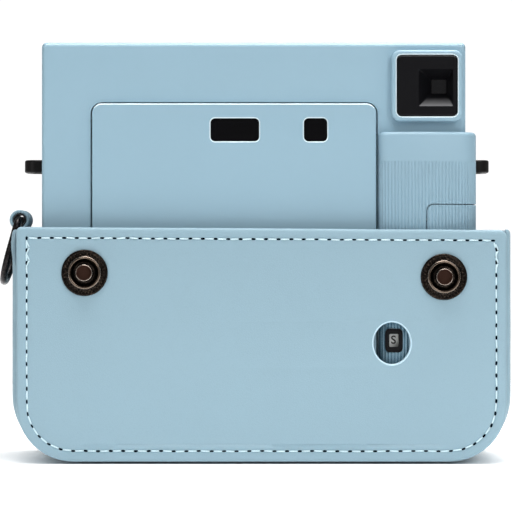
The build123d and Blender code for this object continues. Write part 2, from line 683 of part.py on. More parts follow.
lens_x = (FUNNEL_INNER[0] + 0.05, FUNNEL_INNER[1] - 0.05)
lens_z = (FUNNEL_INNER[2] + 0.05, FUNNEL_INNER[3] - 0.05)
with BuildPart() as eyepiece_lens:
    block(lens_x, (EYEPIECE_FACE + FUNNEL_DEPTH + 0.1, WALL_INNER), lens_z)
    fillet(eyepiece_lens.edges().filter_by(Axis.Y), 0.4)
save(eyepiece_lens, "eyepiece_lens")

TUBE_X = (46.6, 58.6)
TUBE_Z = (106.6, 118.6)
TUBE_WALL = 1.0
with BuildPart() as viewfinder_tube:
    block(TUBE_X, (WALL_INNER, FRONT_INNER), TUBE_Z)
    block((TUBE_X[0] + TUBE_WALL, TUBE_X[1] - TUBE_WALL), (WALL_INNER, FRONT_INNER),
          (TUBE_Z[0] + TUBE_WALL, TUBE_Z[1] - TUBE_WALL), Mode.SUBTRACT)
save(viewfinder_tube, "viewfinder_tube")


# ---------------------------------------------------------------- chassis and film

chamber_x = (PACK_X[0] - CHAMBER_CLEAR, PACK_X[1] + CHAMBER_CLEAR)
chamber_z = (PACK_Z[0] - CHAMBER_CLEAR, PACK_Z[1] + CHAMBER_CLEAR)
CHASSIS_BACK = SEAL_Y[1]
CHASSIS_FRONT = PACK_Y[1] + 0.3 + CHAMBER_WALL
CHASSIS_TOP = chamber_z[1] + CHAMBER_WALL
CLAW_SLOT_Y = (-5.6, -2.4)
FILM_SLOT_Y = (-4.2, -1.2)

# Chassis: the film chamber, open to the door, with the picture window and the film's way out
with BuildPart() as chassis:
    block((chamber_x[0] - CHAMBER_WALL, chamber_x[1] + CHAMBER_WALL),
          (CHASSIS_BACK, CHASSIS_FRONT), (chamber_z[0] - CHAMBER_WALL, CHASSIS_TOP))
    block(chamber_x, (CHASSIS_BACK, PACK_Y[1] + 0.3), chamber_z, Mode.SUBTRACT)
    block((LENS[0] - PICTURE / 2, LENS[0] + PICTURE / 2), (PACK_Y[1], CHASSIS_FRONT),
          (LENS[1] - PICTURE / 2, LENS[1] + PICTURE / 2), Mode.SUBTRACT)
    block((ROLLER_X[0] + 1, ROLLER_X[1] - 1), FILM_SLOT_Y, (chamber_z[1], CHASSIS_TOP),
          Mode.SUBTRACT)
    block((chamber_x[0] - CHAMBER_WALL, chamber_x[0]), CLAW_SLOT_Y, (17, 31), Mode.SUBTRACT)
save(chassis, "chassis")

# Film pack: a plastic cassette with a picture window, a slit at the top and a stack inside
PACK_WALL = 1.2
with BuildPart() as film_pack:
    block(PACK_X, PACK_Y, PACK_Z)
    block((PACK_X[0] + PACK_WALL, PACK_X[1] - PACK_WALL),
          (PACK_Y[0] + PACK_WALL, PACK_Y[1] - PACK_WALL),
          (PACK_Z[0] + PACK_WALL, PACK_Z[1] - PACK_WALL), Mode.SUBTRACT)
    block((LENS[0] - PICTURE / 2, LENS[0] + PICTURE / 2), (PACK_Y[1] - PACK_WALL, PACK_Y[1]),
          (LENS[1] - PICTURE / 2, LENS[1] + PICTURE / 2), Mode.SUBTRACT)
    block((ROLLER_X[0] + 2, ROLLER_X[1] - 2), FILM_SLOT_Y, (PACK_Z[1] - PACK_WALL, PACK_Z[1]),
          Mode.SUBTRACT)
save(film_pack, "film_pack")

with BuildPart() as film_stack:
    block((LENS[0] - 36, LENS[0] + 36), (PACK_Y[1] - PACK_WALL - 4.0, PACK_Y[1] - PACK_WALL - 0.1),
          (PACK_Z[0] + PACK_WALL, PACK_Z[0] + PACK_WALL + 85.2))
save(film_stack, "film_stack")

# Pick claw: lifts the front sheet towards the rollers
with BuildPart() as pick_claw:
    claw_x = chamber_x[0] - CHAMBER_WALL - 0.2
    block((claw_x - 1.6, claw_x), (-8.0, -1.0), (17.2, 33.0))
    block((claw_x, PACK_X[0] - 0.2), (CLAW_SLOT_Y[0] + 0.3, CLAW_SLOT_Y[1] - 0.3), (17.2, 19.4))
    fillet(pick_claw.edges().filter_by(Axis.X).group_by(Axis.Z)[-1], 1.5)
save(pick_claw, "pick_claw")

# Light cone: a square funnel from the picture window to the shutter
CONE_BACK = PICTURE + 3
CONE_FRONT = 44.0
CONE_WALL = 1.2
with BuildPart() as light_cone:
    for inset, action in ((0, Mode.ADD), (2 * CONE_WALL, Mode.SUBTRACT)):
        with BuildSketch(at_depth(CHASSIS_FRONT)):
            with Locations(LENS):
                Rectangle(CONE_BACK - inset, CONE_BACK - inset)
        with BuildSketch(at_depth(SHUTTER_Y)):
            with Locations(LENS):
                Rectangle(CONE_FRONT - inset, CONE_FRONT - inset)
        loft(mode=action)
save(light_cone, "light_cone")


# ---------------------------------------------------------------- shutter and lens

def ring_along_y(outer, inner, y):
    """Ring about the lens axis between two depths."""
    with BuildPart() as ring:
        rod_along_y(*LENS, outer, y)
        rod_along_y(*LENS, inner, y, Mode.SUBTRACT)
    return ring


BLADE_PIVOT = 14.0
BLADE_PIN = 1.0
COVER_PLATE_Y = (SHUTTER_Y + 2.7, SHUTTER_Y + 3.3)
with BuildPart() as shutter_plate:
    add(ring_along_y(BARREL_RADIUS, APERTURE_RADIUS, (SHUTTER_Y, SHUTTER_Y + 1.4)).part)
    for sign in (-1, 1):
        rod_along_y(LENS[0] + sign * BLADE_PIVOT, LENS[1], BLADE_PIN,
                    (SHUTTER_Y + 1.4, COVER_PLATE_Y[1]))
save(shutter_plate, "shutter_plate")


def shutter_blade(sign, y):
    """Sector blade: a lobe over the aperture on an arm that turns about its pin."""
    with BuildPart() as blade:
        with BuildSketch(at_depth(y)):
            with Locations((LENS[0] - sign * 1.0, LENS[1])):
                Circle(9.6)
            with Locations((LENS[0] + sign * BLADE_PIVOT, LENS[1])):
                Circle(2.6)
            with Locations((LENS[0] + sign * 9.0, LENS[1])):
                Rectangle(10, 5.2)
            with Locations((LENS[0] + sign * BLADE_PIVOT, LENS[1])):
                Circle(BLADE_PIN + SHAFT_CLEAR, mode=Mode.SUBTRACT)
        extrude(amount=-BLADE_THICK)
    return blade


save(shutter_blade(-1, SHUTTER_Y + 1.6), "shutter_blade_left")
save(shutter_blade(1, SHUTTER_Y + 2.2), "shutter_blade_right")

# Lens mount: fixed sleeve that guides the barrel inside and carries the ring outside; its floor
# closes the shutter from the front
MOUNT_Y = (COVER_PLATE_Y[0], BODY_FRONT + 8.0)
with BuildPart() as lens_mount:
    add(ring_along_y(LENS_MOUNT_RADIUS, BARREL_RADIUS + 0.1, MOUNT_Y).part)
    add(ring_along_y(LENS_MOUNT_RADIUS, APERTURE_RADIUS, COVER_PLATE_Y).part)
    for sign in (-1, 1):
        rod_along_y(LENS[0] + sign * BLADE_PIVOT, LENS[1], BLADE_PIN + SHAFT_CLEAR,
                    COVER_PLATE_Y, Mode.SUBTRACT)
save(lens_mount, "lens_mount")

# Lens ring: knurled, turned by hand to bring the lens out
RING_Y = (BODY_FRONT + 0.4, BODY_FRONT + 10.0)
KNURLS = 48
with BuildPart() as lens_ring:
    add(ring_along_y(LENS_RING_RADIUS, LENS_RING_BORE, RING_Y).part)
    fillet(lens_ring.faces().sort_by(Axis.Y)[-1].edges(), 0.8)
    with Locations(Location((LENS[0], sum(RING_Y) / 2, LENS[1]), (90, 0, 0))):
        with PolarLocations(LENS_RING_RADIUS + 0.1, KNURLS):
            Cylinder(0.6, RING_Y[1] - RING_Y[0] - 4, mode=Mode.SUBTRACT)
save(lens_ring, "lens_ring")

# Lens barrel: carries the glass; its front lip holds the front element
BARREL_Y = (COVER_PLATE_Y[1] + 0.5, BODY_FRONT + 12.5)
BARREL_BORE = 20.0
FRONT_GLASS_RADIUS = 12.0
REAR_GLASS_RADIUS = 9.0
with BuildPart() as lens_barrel:
    add(ring_along_y(BARREL_RADIUS, BARREL_BORE, BARREL_Y).part)
    add(ring_along_y(BARREL_BORE, FRONT_GLASS_RADIUS, (BARREL_Y[1] - 4.0, BARREL_Y[1] - 1.0)).part)
    add(ring_along_y(BARREL_BORE, REAR_GLASS_RADIUS, (BARREL_Y[0], BARREL_Y[0] + 2.0)).part)
    fillet(lens_barrel.faces().sort_by(Axis.Y)[-1].edges(), 0.5)
save(lens_barrel, "lens_barrel")

# Front and rear glass, held by the barrel's lips
with BuildPart() as lens_glass:
    rod_along_y(*LENS, FRONT_GLASS_RADIUS - 0.02, (BARREL_Y[1] - 4.0, BARREL_Y[1] - 2.0))
    with BuildSketch(Plane.XY.offset(LENS[1])):
        with BuildLine():
            rim = (LENS[0] + FRONT_GLASS_RADIUS - 0.02, BARREL_Y[1] - 2.0)
            crown = (LENS[0], BARREL_Y[1] - 0.6)
            Line((LENS[0], BARREL_Y[1] - 2.0), rim)
            TangentArc(crown, rim, tangent=(1, 0))
            Line(crown, (LENS[0], BARREL_Y[1] - 2.0))
        make_face()
    revolve(axis=Axis((LENS[0], 0, LENS[1]), (0, 1, 0)))
    rod_along_y(*LENS, REAR_GLASS_RADIUS - 0.02, (BARREL_Y[0] + 0.1, BARREL_Y[0] + 2.0))
save(lens_glass, "lens_glass")

# Self-portrait mirror: small dome glued to the barrel's front lip
with BuildPart() as portrait_mirror:
    rod_along_y(LENS[0] - 16.0, LENS[1], 3.2, (BARREL_Y[1] - 1.0, BARREL_Y[1] - 0.2))
    fillet(portrait_mirror.faces().sort_by(Axis.Y)[-1].edges(), 0.6)
save(portrait_mirror, "portrait_mirror")

# Shutter button, pressed from the front, with a flange that keeps it in the cover
with BuildPart() as shutter_button:
    rod_along_y(*BUTTON, BUTTON_RADIUS, (FRONT_INNER, BODY_FRONT + BUTTON_PROUD))
    fillet(shutter_button.faces().sort_by(Axis.Y)[-1].edges(), 0.8)
    rod_along_y(*BUTTON, BUTTON_RADIUS + 1.0, (FRONT_INNER - 1.0, FRONT_INNER))
save(shutter_button, "shutter_button")


# ---------------------------------------------------------------- rollers and drive

def involute_gear(teeth, centre, tooth_angle, bore):
    """Spur gear about an axis along X, with one tooth centred at tooth_angle (degrees from +Y)."""
    pitch = GEAR_MODULE * teeth / 2
    base = pitch * cos(radians(PRESSURE_ANGLE))
    tip = pitch + ADDENDUM * GEAR_MODULE
    root = pitch - DEDENDUM * GEAR_MODULE
    involute_at_pitch = tan(radians(PRESSURE_ANGLE)) - radians(PRESSURE_ANGLE)
    half_tooth = pi / (2 * teeth) - BACKLASH / (4 * pitch) + involute_at_pitch

    def flank(radius):
        """Half of the tooth's angle at a radius, in radians."""
        unwound = acos(min(1.0, base / radius))
        return half_tooth - (tan(unwound) - unwound)

    steps = [max(base, root) + (tip - max(base, root)) * k / 4 for k in range(5)]
    outline = []
    for tooth in range(teeth):
        middle = radians(tooth_angle) + 2 * pi * tooth / teeth
        rising = [(r, middle - flank(r)) for r in steps]
        falling = [(r, middle + flank(r)) for r in reversed(steps)]
        outline += [(root, rising[0][1])] + rising + falling + [(root, falling[-1][1])]
    points = [(centre[0] + r * cos(a), centre[1] + r * sin(a)) for r, a in outline]
    with BuildPart() as gear:
        with BuildSketch(at_side(GEAR_X[0])):
            with BuildLine():
                Polyline(*points, close=True)
            make_face()
            with Locations(centre):
                Circle(bore, mode=Mode.SUBTRACT)
        extrude(amount=GEAR_X[1] - GEAR_X[0])
    return gear


def along(start, direction, distance):
    """Point at a distance from start in a direction given in degrees from +Y."""
    return (start[0] + distance * cos(radians(direction)),
            start[1] + distance * sin(radians(direction)))


def centre_distance(teeth, other_teeth):
    """Distance between the axes of two meshed gears."""
    return GEAR_MODULE * (teeth + other_teeth) / 2


def meshed_angle(teeth_a, angle_a, teeth_b, direction):
    """Tooth angle of gear B, in mesh with gear A whose tooth is at angle_a, B lying in direction."""
    pitch_a = 360 / teeth_a
    turned = (angle_a - direction + pitch_a / 2) % pitch_a - pitch_a / 2
    return direction + 180 + 180 / teeth_b - turned * teeth_a / teeth_b


# The two rollers share one centre distance with their gears; the film runs between them
pinch_axis = (FILM_Y - centre_distance(DRIVE_TEETH, DRIVE_TEETH) / 2, ROLLER_Z)
drive_axis = (FILM_Y + centre_distance(DRIVE_TEETH, DRIVE_TEETH) / 2, ROLLER_Z)
idler_axis = along(drive_axis, IDLER_DIRECTION, centre_distance(DRIVE_TEETH, IDLER_TEETH))
pinion_axis = along(idler_axis, PINION_DIRECTION, centre_distance(IDLER_TEETH, PINION_TEETH))

drive_angle = 180.0
pinch_angle = meshed_angle(DRIVE_TEETH, drive_angle, DRIVE_TEETH, 180.0)
idler_angle = meshed_angle(DRIVE_TEETH, drive_angle, IDLER_TEETH, IDLER_DIRECTION)
pinion_angle = meshed_angle(IDLER_TEETH, idler_angle, PINION_TEETH, PINION_DIRECTION)

SIDE_PLATE = 1.5
LEFT_PLATE = (ROLLER_X[0] - 1.0 - SIDE_PLATE, ROLLER_X[0] - 1.0)
RIGHT_PLATE = (ROLLER_X[1] + 1.0, ROLLER_X[1] + 1.0 + SIDE_PLATE)


def film_roller(axis):
    """Steel roller with shaft ends that run in the bracket's side plates."""
    with BuildPart() as roller:
        rod_along_x(*axis, ROLLER_RADIUS, ROLLER_X)
        rod_along_x(*axis, ROLLER_SHAFT, (GEAR_X[0], RIGHT_PLATE[1] + 0.5))
    return roller


save(film_roller(drive_axis), "drive_roller")
save(film_roller(pinch_axis), "pinch_roller")
save(involute_gear(DRIVE_TEETH, drive_axis, drive_angle, ROLLER_SHAFT), "drive_roller_gear")
save(involute_gear(DRIVE_TEETH, pinch_axis, pinch_angle, ROLLER_SHAFT), "pinch_roller_gear")
save(involute_gear(IDLER_TEETH, idler_axis, idler_angle, IDLER_POST + SHAFT_CLEAR), "idler_gear")

# Pinion on the motor's shaft
MOTOR_X = (-49.5, -24.0)
MOTOR_SHAFT = 0.75
with BuildPart() as motor_pinion:
    add(involute_gear(PINION_TEETH, pinion_axis, pinion_angle, MOTOR_SHAFT).part)
    rod_along_x(*pinion_axis, MOTOR_SHAFT, (GEAR_X[0], MOTOR_X[0] + 5))
save(motor_pinion, "motor_pinion")

with BuildPart() as film_motor:
    rod_along_x(*pinion_axis, MOTOR_RADIUS, MOTOR_X)
    rod_along_x(*pinion_axis, 2.0, (MOTOR_X[0] - 0.5, MOTOR_X[0]))
    rod_along_x(*pinion_axis, MOTOR_SHAFT + SHAFT_CLEAR, (MOTOR_X[0] - 0.5, MOTOR_X[0] + 6),
                Mode.SUBTRACT)
save(film_motor, "film_motor")

# Bracket: a base strip with the film's slot, two side plates that carry the shafts, and a
# longer left plate that holds the motor and the idler's post
BASE_TOP = CHASSIS_TOP + 1.2
with BuildPart() as roller_bracket:
    block((LEFT_PLATE[0], RIGHT_PLATE[1]), (-10.5, 6.5), (CHASSIS_TOP, BASE_TOP))
    block((ROLLER_X[0] + 1, ROLLER_X[1] - 1), FILM_SLOT_Y, (CHASSIS_TOP, BASE_TOP), Mode.SUBTRACT)
    block(RIGHT_PLATE, (-10.5, 6.5), (BASE_TOP, ROLLER_Z + 5))
    block(LEFT_PLATE, (-10.5, 19.4), (BASE_TOP, ROLLER_Z + 5))
    block(LEFT_PLATE, (CHASSIS_FRONT + 0.5, 19.4), (94.0, BASE_TOP))
    rod_along_x(*idler_axis, IDLER_POST, (GEAR_X[0] - 0.5, LEFT_PLATE[0]))
    rod_along_x(*idler_axis, 2.4, (GEAR_X[1] + 0.2, LEFT_PLATE[0]))
    rod_along_x(*pinion_axis, MOTOR_RADIUS + 0.05, LEFT_PLATE, Mode.SUBTRACT)
    for axis in (pinch_axis, drive_axis):
        for plate in (LEFT_PLATE, RIGHT_PLATE):
            rod_along_x(*axis, ROLLER_SHAFT + SHAFT_CLEAR, plate, Mode.SUBTRACT)
save(roller_bracket, "roller_bracket")


# ---------------------------------------------------------------- power, flash and boards

# Two lithium cells in line, each with a raised contact on top
with BuildPart() as battery_cells:
    for bottom in CELL_BOTTOMS:
        rod_along_z(*CELL_AXIS, CELL_RADIUS, (bottom, bottom + CELL_LENGTH - 1))
    fillet(battery_cells.edges().filter_by(GeomType.CIRCLE), 0.6)
    for bottom in CELL_BOTTOMS:
        rod_along_z(*CELL_AXIS, 3.0, (bottom + CELL_LENGTH - 1, bottom + CELL_LENGTH))
save(battery_cells, "battery_cells")

# Battery holder: channel that is open to the battery cover
HOLDER_X = (42.2, 58.7)
HOLDER_Z = (13.6, 74.2)
with BuildPart() as battery_holder:
    block(HOLDER_X, (WALL_INNER, 2.2), HOLDER_Z)
    rod_along_z(*CELL_AXIS, CELL_RADIUS + 0.1, (HOLDER_Z[0] + 1.2, HOLDER_Z[1] - 1.2),
                Mode.SUBTRACT)
    block((CELL_AXIS[0] - CELL_RADIUS - 0.1, CELL_AXIS[0] + CELL_RADIUS + 0.1),
          (WALL_INNER, CELL_AXIS[1]), (HOLDER_Z[0] + 1.2, HOLDER_Z[1] - 1.2), Mode.SUBTRACT)
save(battery_holder, "battery_holder")

with BuildPart() as battery_contacts:
    rod_along_z(*CELL_AXIS, 5.0, (HOLDER_Z[0] + 1.2, HOLDER_Z[0] + 1.7))
    rod_along_z(*CELL_AXIS, 5.0, (HOLDER_Z[1] - 1.7, HOLDER_Z[1] - 1.2))
save(battery_contacts, "battery_contacts")

# Circuit board, behind the shutter button's full travel
BOARD_Y = (15.6, 16.8)
with BuildPart() as main_board:
    block((28.0, 58.0), BOARD_Y, (20.0, 100.0))
save(main_board, "main_board")

with BuildPart() as flash_capacitor:
    rod_along_z(-56.8, 10.5, 6.2, (28.0, 66.0))
    fillet(flash_capacitor.edges().filter_by(GeomType.CIRCLE), 0.7)
save(flash_capacitor, "flash_capacitor")

REFLECTOR_Y = (14.0, FRONT_INNER)
with BuildPart() as flash_reflector:
    block(FLASH_X, REFLECTOR_Y, FLASH_Z)
    with BuildSketch(at_side(FLASH_X[0] + 1)):
        with BuildLine():
            mouth_low = (REFLECTOR_Y[1], FLASH_Z[0] + 0.8)
            mouth_high = (REFLECTOR_Y[1], FLASH_Z[1] - 0.8)
            ThreePointArc(mouth_low, (REFLECTOR_Y[0] + 0.8, sum(FLASH_Z) / 2), mouth_high)
            Line(mouth_high, mouth_low)
        make_face()
    extrude(amount=FLASH_X[1] - FLASH_X[0] - 2, mode=Mode.SUBTRACT)
save(flash_reflector, "flash_reflector")

with BuildPart() as flash_tube:
    rod_along_x(REFLECTOR_Y[0] + 3.0, sum(FLASH_Z) / 2, 1.2, (FLASH_X[0] + 1.0, FLASH_X[1] - 1.0))
save(flash_tube, "flash_tube")

with BuildPart() as flash_lens:
    with BuildSketch(at_depth(BODY_FRONT + 0.2)):
        with Locations((sum(FLASH_X) / 2, sum(FLASH_Z) / 2)):
            RectangleRounded(FLASH_X[1] - FLASH_X[0] - 0.1, FLASH_Z[1] - FLASH_Z[0] - 0.1, 1.95)
    extrude(amount=SHELL)
save(flash_lens, "flash_lens")

# Clear plates in the front cover: the finder's window and the two light sensors
with BuildPart() as front_windows:
    with BuildSketch(at_depth(BODY_FRONT - 0.3)):
        with Locations(FRONT_FINDER):
            RectangleRounded(10.9, 9.9, 1.45)
        with Locations(*SENSOR_SPOTS):
            Circle(2.05)
    extrude(amount=SHELL - 0.5)
save(front_windows, "front_windows")

# Countersunk screws that close the covers from below
with BuildPart() as cover_screws:
    for x, y in SCREW_SPOTS:
        rod_along_z(x, y, 2.2, (BODY_BOTTOM + 0.2, BODY_BOTTOM + 1.4))
        rod_along_z(x, y, 1.0, (BODY_BOTTOM + 1.4, BODY_BOTTOM + 5.5))
save(cover_screws, "cover_screws")
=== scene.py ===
import math
import random

import bmesh
import bpy
from mathutils import Matrix, Vector, noise
from mathutils.geometry import tessellate_polygon


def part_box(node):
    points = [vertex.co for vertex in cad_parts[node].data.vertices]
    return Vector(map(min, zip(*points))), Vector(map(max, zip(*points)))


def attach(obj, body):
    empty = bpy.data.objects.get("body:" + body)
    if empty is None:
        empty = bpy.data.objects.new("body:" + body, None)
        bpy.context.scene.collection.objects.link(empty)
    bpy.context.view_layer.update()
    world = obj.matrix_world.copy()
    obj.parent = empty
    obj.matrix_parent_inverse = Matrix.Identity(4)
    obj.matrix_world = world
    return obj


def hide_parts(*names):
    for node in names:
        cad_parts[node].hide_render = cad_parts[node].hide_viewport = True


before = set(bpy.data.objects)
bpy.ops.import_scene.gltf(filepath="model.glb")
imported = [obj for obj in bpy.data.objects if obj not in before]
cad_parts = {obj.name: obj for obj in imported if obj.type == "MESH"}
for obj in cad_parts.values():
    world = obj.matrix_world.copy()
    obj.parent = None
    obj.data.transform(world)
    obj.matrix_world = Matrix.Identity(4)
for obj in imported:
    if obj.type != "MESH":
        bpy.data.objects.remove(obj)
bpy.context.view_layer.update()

# Looks for an instant camera that stands in the lower half of its leather case.
# Lengths are in millimetres and become metres in mesh_of and in the materials' nodes; the last
# section, with floor, lights and camera, is in metres.
MM = 0.001
random.seed(7)


def node_box(name):
    """Lowest and highest corner of a CAD node, in millimetres."""
    low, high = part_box(name)
    return [v / MM for v in low], [v / MM for v in high]


# ---------------- materials

class Shader:
    """A material with one Principled BSDF and short calls for the nodes that feed it."""

    def __init__(self, name, color, roughness, metallic=0.0, **inputs):
        self.material = bpy.data.materials.new(name)
        self.material.use_nodes = True
        self.tree = self.material.node_tree
        self.nodes = self.tree.nodes
        self.bsdf = self.nodes["Principled BSDF"]
        self.coordinates = self.nodes.new("ShaderNodeTexCoord").outputs["Object"]
        self.color = color
        self.bsdf.inputs["Base Color"].default_value = (*color, 1)
        self.bsdf.inputs["Roughness"].default_value = roughness
        self.bsdf.inputs["Metallic"].default_value = metallic
        for key, value in inputs.items():
            self.bsdf.inputs[key.replace("_", " ")].default_value = value
        self.height = None

    def link(self, source, target):
        self.tree.links.new(source, target)

    def node(self, kind, **inputs):
        """A new node whose inputs are set to values or fed by other nodes' outputs."""
        made = self.nodes.new("ShaderNode" + kind)
        for key, value in inputs.items():
            socket = made.inputs[key.replace("_", " ")]
            if isinstance(value, bpy.types.NodeSocket):
                self.link(value, socket)
            else:
                socket.default_value = value
        return made

    def stretched(self, scale):
        """Object coordinates with a different scale on each axis."""
        return self.node("Mapping", Vector=self.coordinates, Scale=scale).outputs["Vector"]

    def noise(self, per_mm, detail=4, roughness=0.55, stretch=None):
        """Noise whose features are about 1 / per_mm millimetres across."""
        place = self.stretched(stretch) if stretch else self.coordinates
        texture = self.node("TexNoise", Vector=place, Scale=per_mm / MM, Detail=detail,
                            Roughness=roughness)
        return texture.outputs["Fac"]

    def cells(self, per_mm, feature="DISTANCE_TO_EDGE", randomness=1.0):
        """Voronoi cells about 1 / per_mm millimetres across."""
        texture = self.node("TexVoronoi", Vector=self.coordinates, Scale=per_mm / MM,
                            Randomness=randomness)
        texture.feature = feature
        return texture.outputs["Distance"]

    def waves(self, per_mm, direction, distortion=0.0):
        """Bands across one axis."""
        texture = self.node("TexWave", Vector=self.coordinates, Scale=per_mm / MM,
                            Distortion=distortion)
        texture.bands_direction = direction
        return texture.outputs["Fac"]

    def ramp(self, value, low, high, start=0.0, end=1.0):
        """Value remapped from low..high to start..end, clamped."""
        remap = self.node("MapRange", Value=value, From_Min=low, From_Max=high, To_Min=start, To_Max=end)
        return remap.outputs["Result"]

    def tint(self, factor, other, strength=1.0):
        """Mixes the base colour towards another colour by a factor."""
        mix = self.node("Mix")
        mix.data_type = "RGBA"
        base = self.bsdf.inputs["Base Color"]
        if base.is_linked:
            self.link(base.links[0].from_socket, mix.inputs["A"])
        else:
            mix.inputs["A"].default_value = base.default_value
        mix.inputs["B"].default_value = (*other, 1)
        self.link(self.ramp(factor, 0, 1, 0, strength), mix.inputs["Factor"])
        self.link(mix.outputs["Result"], base)

    def rough(self, value, low, high):
        """Lets a 0..1 value move the roughness between low and high."""
        self.link(self.ramp(value, 0.2, 0.8, low, high), self.bsdf.inputs["Roughness"])

    def bump(self, value, depth_mm, strength=1.0):
        """Adds a height of depth_mm to the surface."""
        node = self.node("Bump", Height=value, Distance=depth_mm * MM, Strength=strength)
        if self.height:
            self.link(self.height, node.inputs["Normal"])
        self.height = node.outputs["Normal"]
        self.link(self.height, self.bsdf.inputs["Normal"])

    def times(self, first, second):
        """The product of two values."""
        node = self.node("Math")
        node.operation = "MULTIPLY"
        self.link(first, node.inputs[0])
        self.link(second, node.inputs[1])
        return node.outputs["Value"]

    def openness(self, reach_mm, local=True):
        """1 on a free surface, towards 0 where its surroundings, or only its own mesh, cover it."""
        node = self.node("AmbientOcclusion", Distance=reach_mm * MM)
        node.samples = 6
        node.only_local = local
        return node.outputs["AO"]

    def near(self, x, z, inner_mm, outer_mm):
        """1 within inner_mm of a point of the XZ plane, 0 beyond outer_mm."""
        node = self.node("VectorMath")
        node.operation = "DISTANCE"
        self.link(self.stretched((1, 0, 1)), node.inputs[0])
        node.inputs[1].default_value = (x * MM, 0, z * MM)
        return self.ramp(node.outputs["Value"], outer_mm * MM, inner_mm * MM)

    def lit_from_above(self, color, y_inner, y_outer, strength):
        """A paler colour painted on faces that look up, a painted reflection of the light above, strongest
        towards y_outer.
        """
        normal = self.node("SeparateXYZ", Vector=self.node("NewGeometry").outputs["Normal"])
        place = self.node("SeparateXYZ", Vector=self.coordinates)
        upward = self.ramp(normal.outputs["Z"], 0.3, 0.6)
        outside = self.ramp(place.outputs["Y"], y_inner * MM, y_outer * MM)
        self.tint(self.times(upward, outside), color, strength)


def shade(color, factor):
    return tuple(c * factor for c in color)


# Linear colours
BLUE = (0.266, 0.411, 0.500)
GRIP_BLUE = (0.254, 0.390, 0.476)
LEATHER_BLUE = (0.247, 0.373, 0.443)
# Colour of painted shade in creases and between parts
CREASE_SHADE_BLUE = (0.018, 0.150, 0.215)
HIGHLIGHT_BLUE = (0.700, 0.830, 0.880)
# Painted shade in the grip's rib valleys, and the darker painted shade behind the peep hole
SHADED_RIB = (0.020, 0.140, 0.200)
SHADE_BEHIND_PEEP_HOLE = (0.003, 0.070, 0.115)
SOFT_BLACK = (0.004, 0.004, 0.005)
LIT_BLACK = (0.16, 0.16, 0.165)

# How far the ambient occlusion looks, in millimetres, and the range of openness over which it paints shade
BODY_CREASE, LEATHER_CREASE, RIB_VALLEY, PEEP_HOLE_SHADE = 6.0, 3.0, 1.2, 14.0
CREASE_OPEN, CREASE_SHUT = 0.92, 0.35
# Centre and half axes of the peep hole in the case's back, and where the painted shade behind it ends
PEEP_HOLE = (38.7, 35.7, 5.45, 6.2)
SHADE_INNER, SHADE_OUTER = 6.5, 8.5


def moulded_plastic(name, color, roughness=0.42, grain_per_mm=4.0, grain_depth=0.012, crease_shade=None,
                    peep_hole=None, eye_lip=None, **inputs):
    """Fine spark-eroded texture, slow tone drift and faint handling marks.

    The crease colour is painted shade in creases and between parts; peep_hole is the centre of the
    hole that it is seen through, round which painted shade darkens the piece, and with it painted
    shade also fills the rib valleys; eye_lip gives the two depths between which faces that look up
    grow paler, a painted reflection of the light above.
    """
    s = Shader(name, color, roughness, **inputs)
    s.tint(s.noise(0.02, 2), shade(color, 0.93), 0.5)
    s.tint(s.ramp(s.noise(1.5, 6, 0.7), 0.62, 0.75), shade(color, 0.9), 0.25)
    s.rough(s.noise(0.06, 5, 0.65), roughness - 0.06, roughness + 0.08)
    s.bump(s.noise(grain_per_mm, 3, 0.6), grain_depth)
    # Painted reflection: paler facets that look up inside the eyepiece's funnel
    if eye_lip:
        s.lit_from_above(LIT_BLACK, *eye_lip, 0.8)
    # Painted shade where the piece's own mesh closes over it: creases, recesses and corners
    if crease_shade:
        s.tint(s.ramp(s.openness(BODY_CREASE), CREASE_OPEN, CREASE_SHUT), crease_shade, 0.6)
    if peep_hole:
        # Painted shade in the rib valleys, where the grip's own mesh closes over them
        s.tint(s.ramp(s.openness(RIB_VALLEY), 0.80, CREASE_SHUT), SHADED_RIB, 0.30)
        # Painted shade behind the peep hole: dark where the case covers the grip, only near the hole
        peep_shade = s.ramp(s.openness(PEEP_HOLE_SHADE, local=False), 0.62, 0.25)
        s.tint(s.times(peep_shade, s.near(*peep_hole, SHADE_INNER, SHADE_OUTER)), SHADE_BEHIND_PEEP_HOLE, 0.97)
    return s.material


def smooth_leather(name, color, roughness=0.5, crease_shade=None):
    """Coated split leather: tiny pebble grain, pores, a gentle unevenness and, when given a crease colour,
    painted shade in its creases.
    """
    s = Shader(name, color, roughness, Sheen_Weight=0.08, Specular_IOR_Level=0.4)
    s.tint(s.noise(0.03, 3), shade(color, 0.94), 0.6)
    s.tint(s.ramp(s.cells(1.9), 0.10, 0.0), shade(color, 0.86), 0.35)
    s.rough(s.noise(0.35, 5, 0.7), roughness - 0.07, roughness + 0.10)
    s.bump(s.noise(0.05, 2), 0.25, 0.35)
    s.bump(s.ramp(s.cells(1.9), 0.0, 0.25), 0.03, 0.5)
    s.bump(s.noise(5.0, 4, 0.65), 0.015, 0.6)
    # Painted shade in the creases of the leather's own mesh
    if crease_shade:
        s.tint(s.ramp(s.openness(LEATHER_CREASE), CREASE_OPEN, CREASE_SHUT), crease_shade, 0.5)
    return s.material


def thread(name, color):
    """Twisted sewing thread."""
    s = Shader(name, color, 0.6, Sheen_Weight=0.3)
    s.tint(s.noise(3.0, 3), shade(color, 0.8), 0.6)
    s.bump(s.waves(0.9, "DIAGONAL", 1.0), 0.06)
    s.bump(s.noise(12.0, 2), 0.02)
    return s.material


def aged_metal(name, color, worn, roughness=0.34):
    """Dark plated metal whose plating has rubbed to a warmer tone in patches."""
    s = Shader(name, color, roughness, 1.0)
    s.tint(s.ramp(s.noise(1.4, 6, 0.75), 0.50, 0.70), worn, 0.8)
    s.rough(s.noise(1.6, 5, 0.7), roughness - 0.10, roughness + 0.16)
    s.bump(s.noise(3.0, 5, 0.7), 0.02, 0.5)
    return s.material


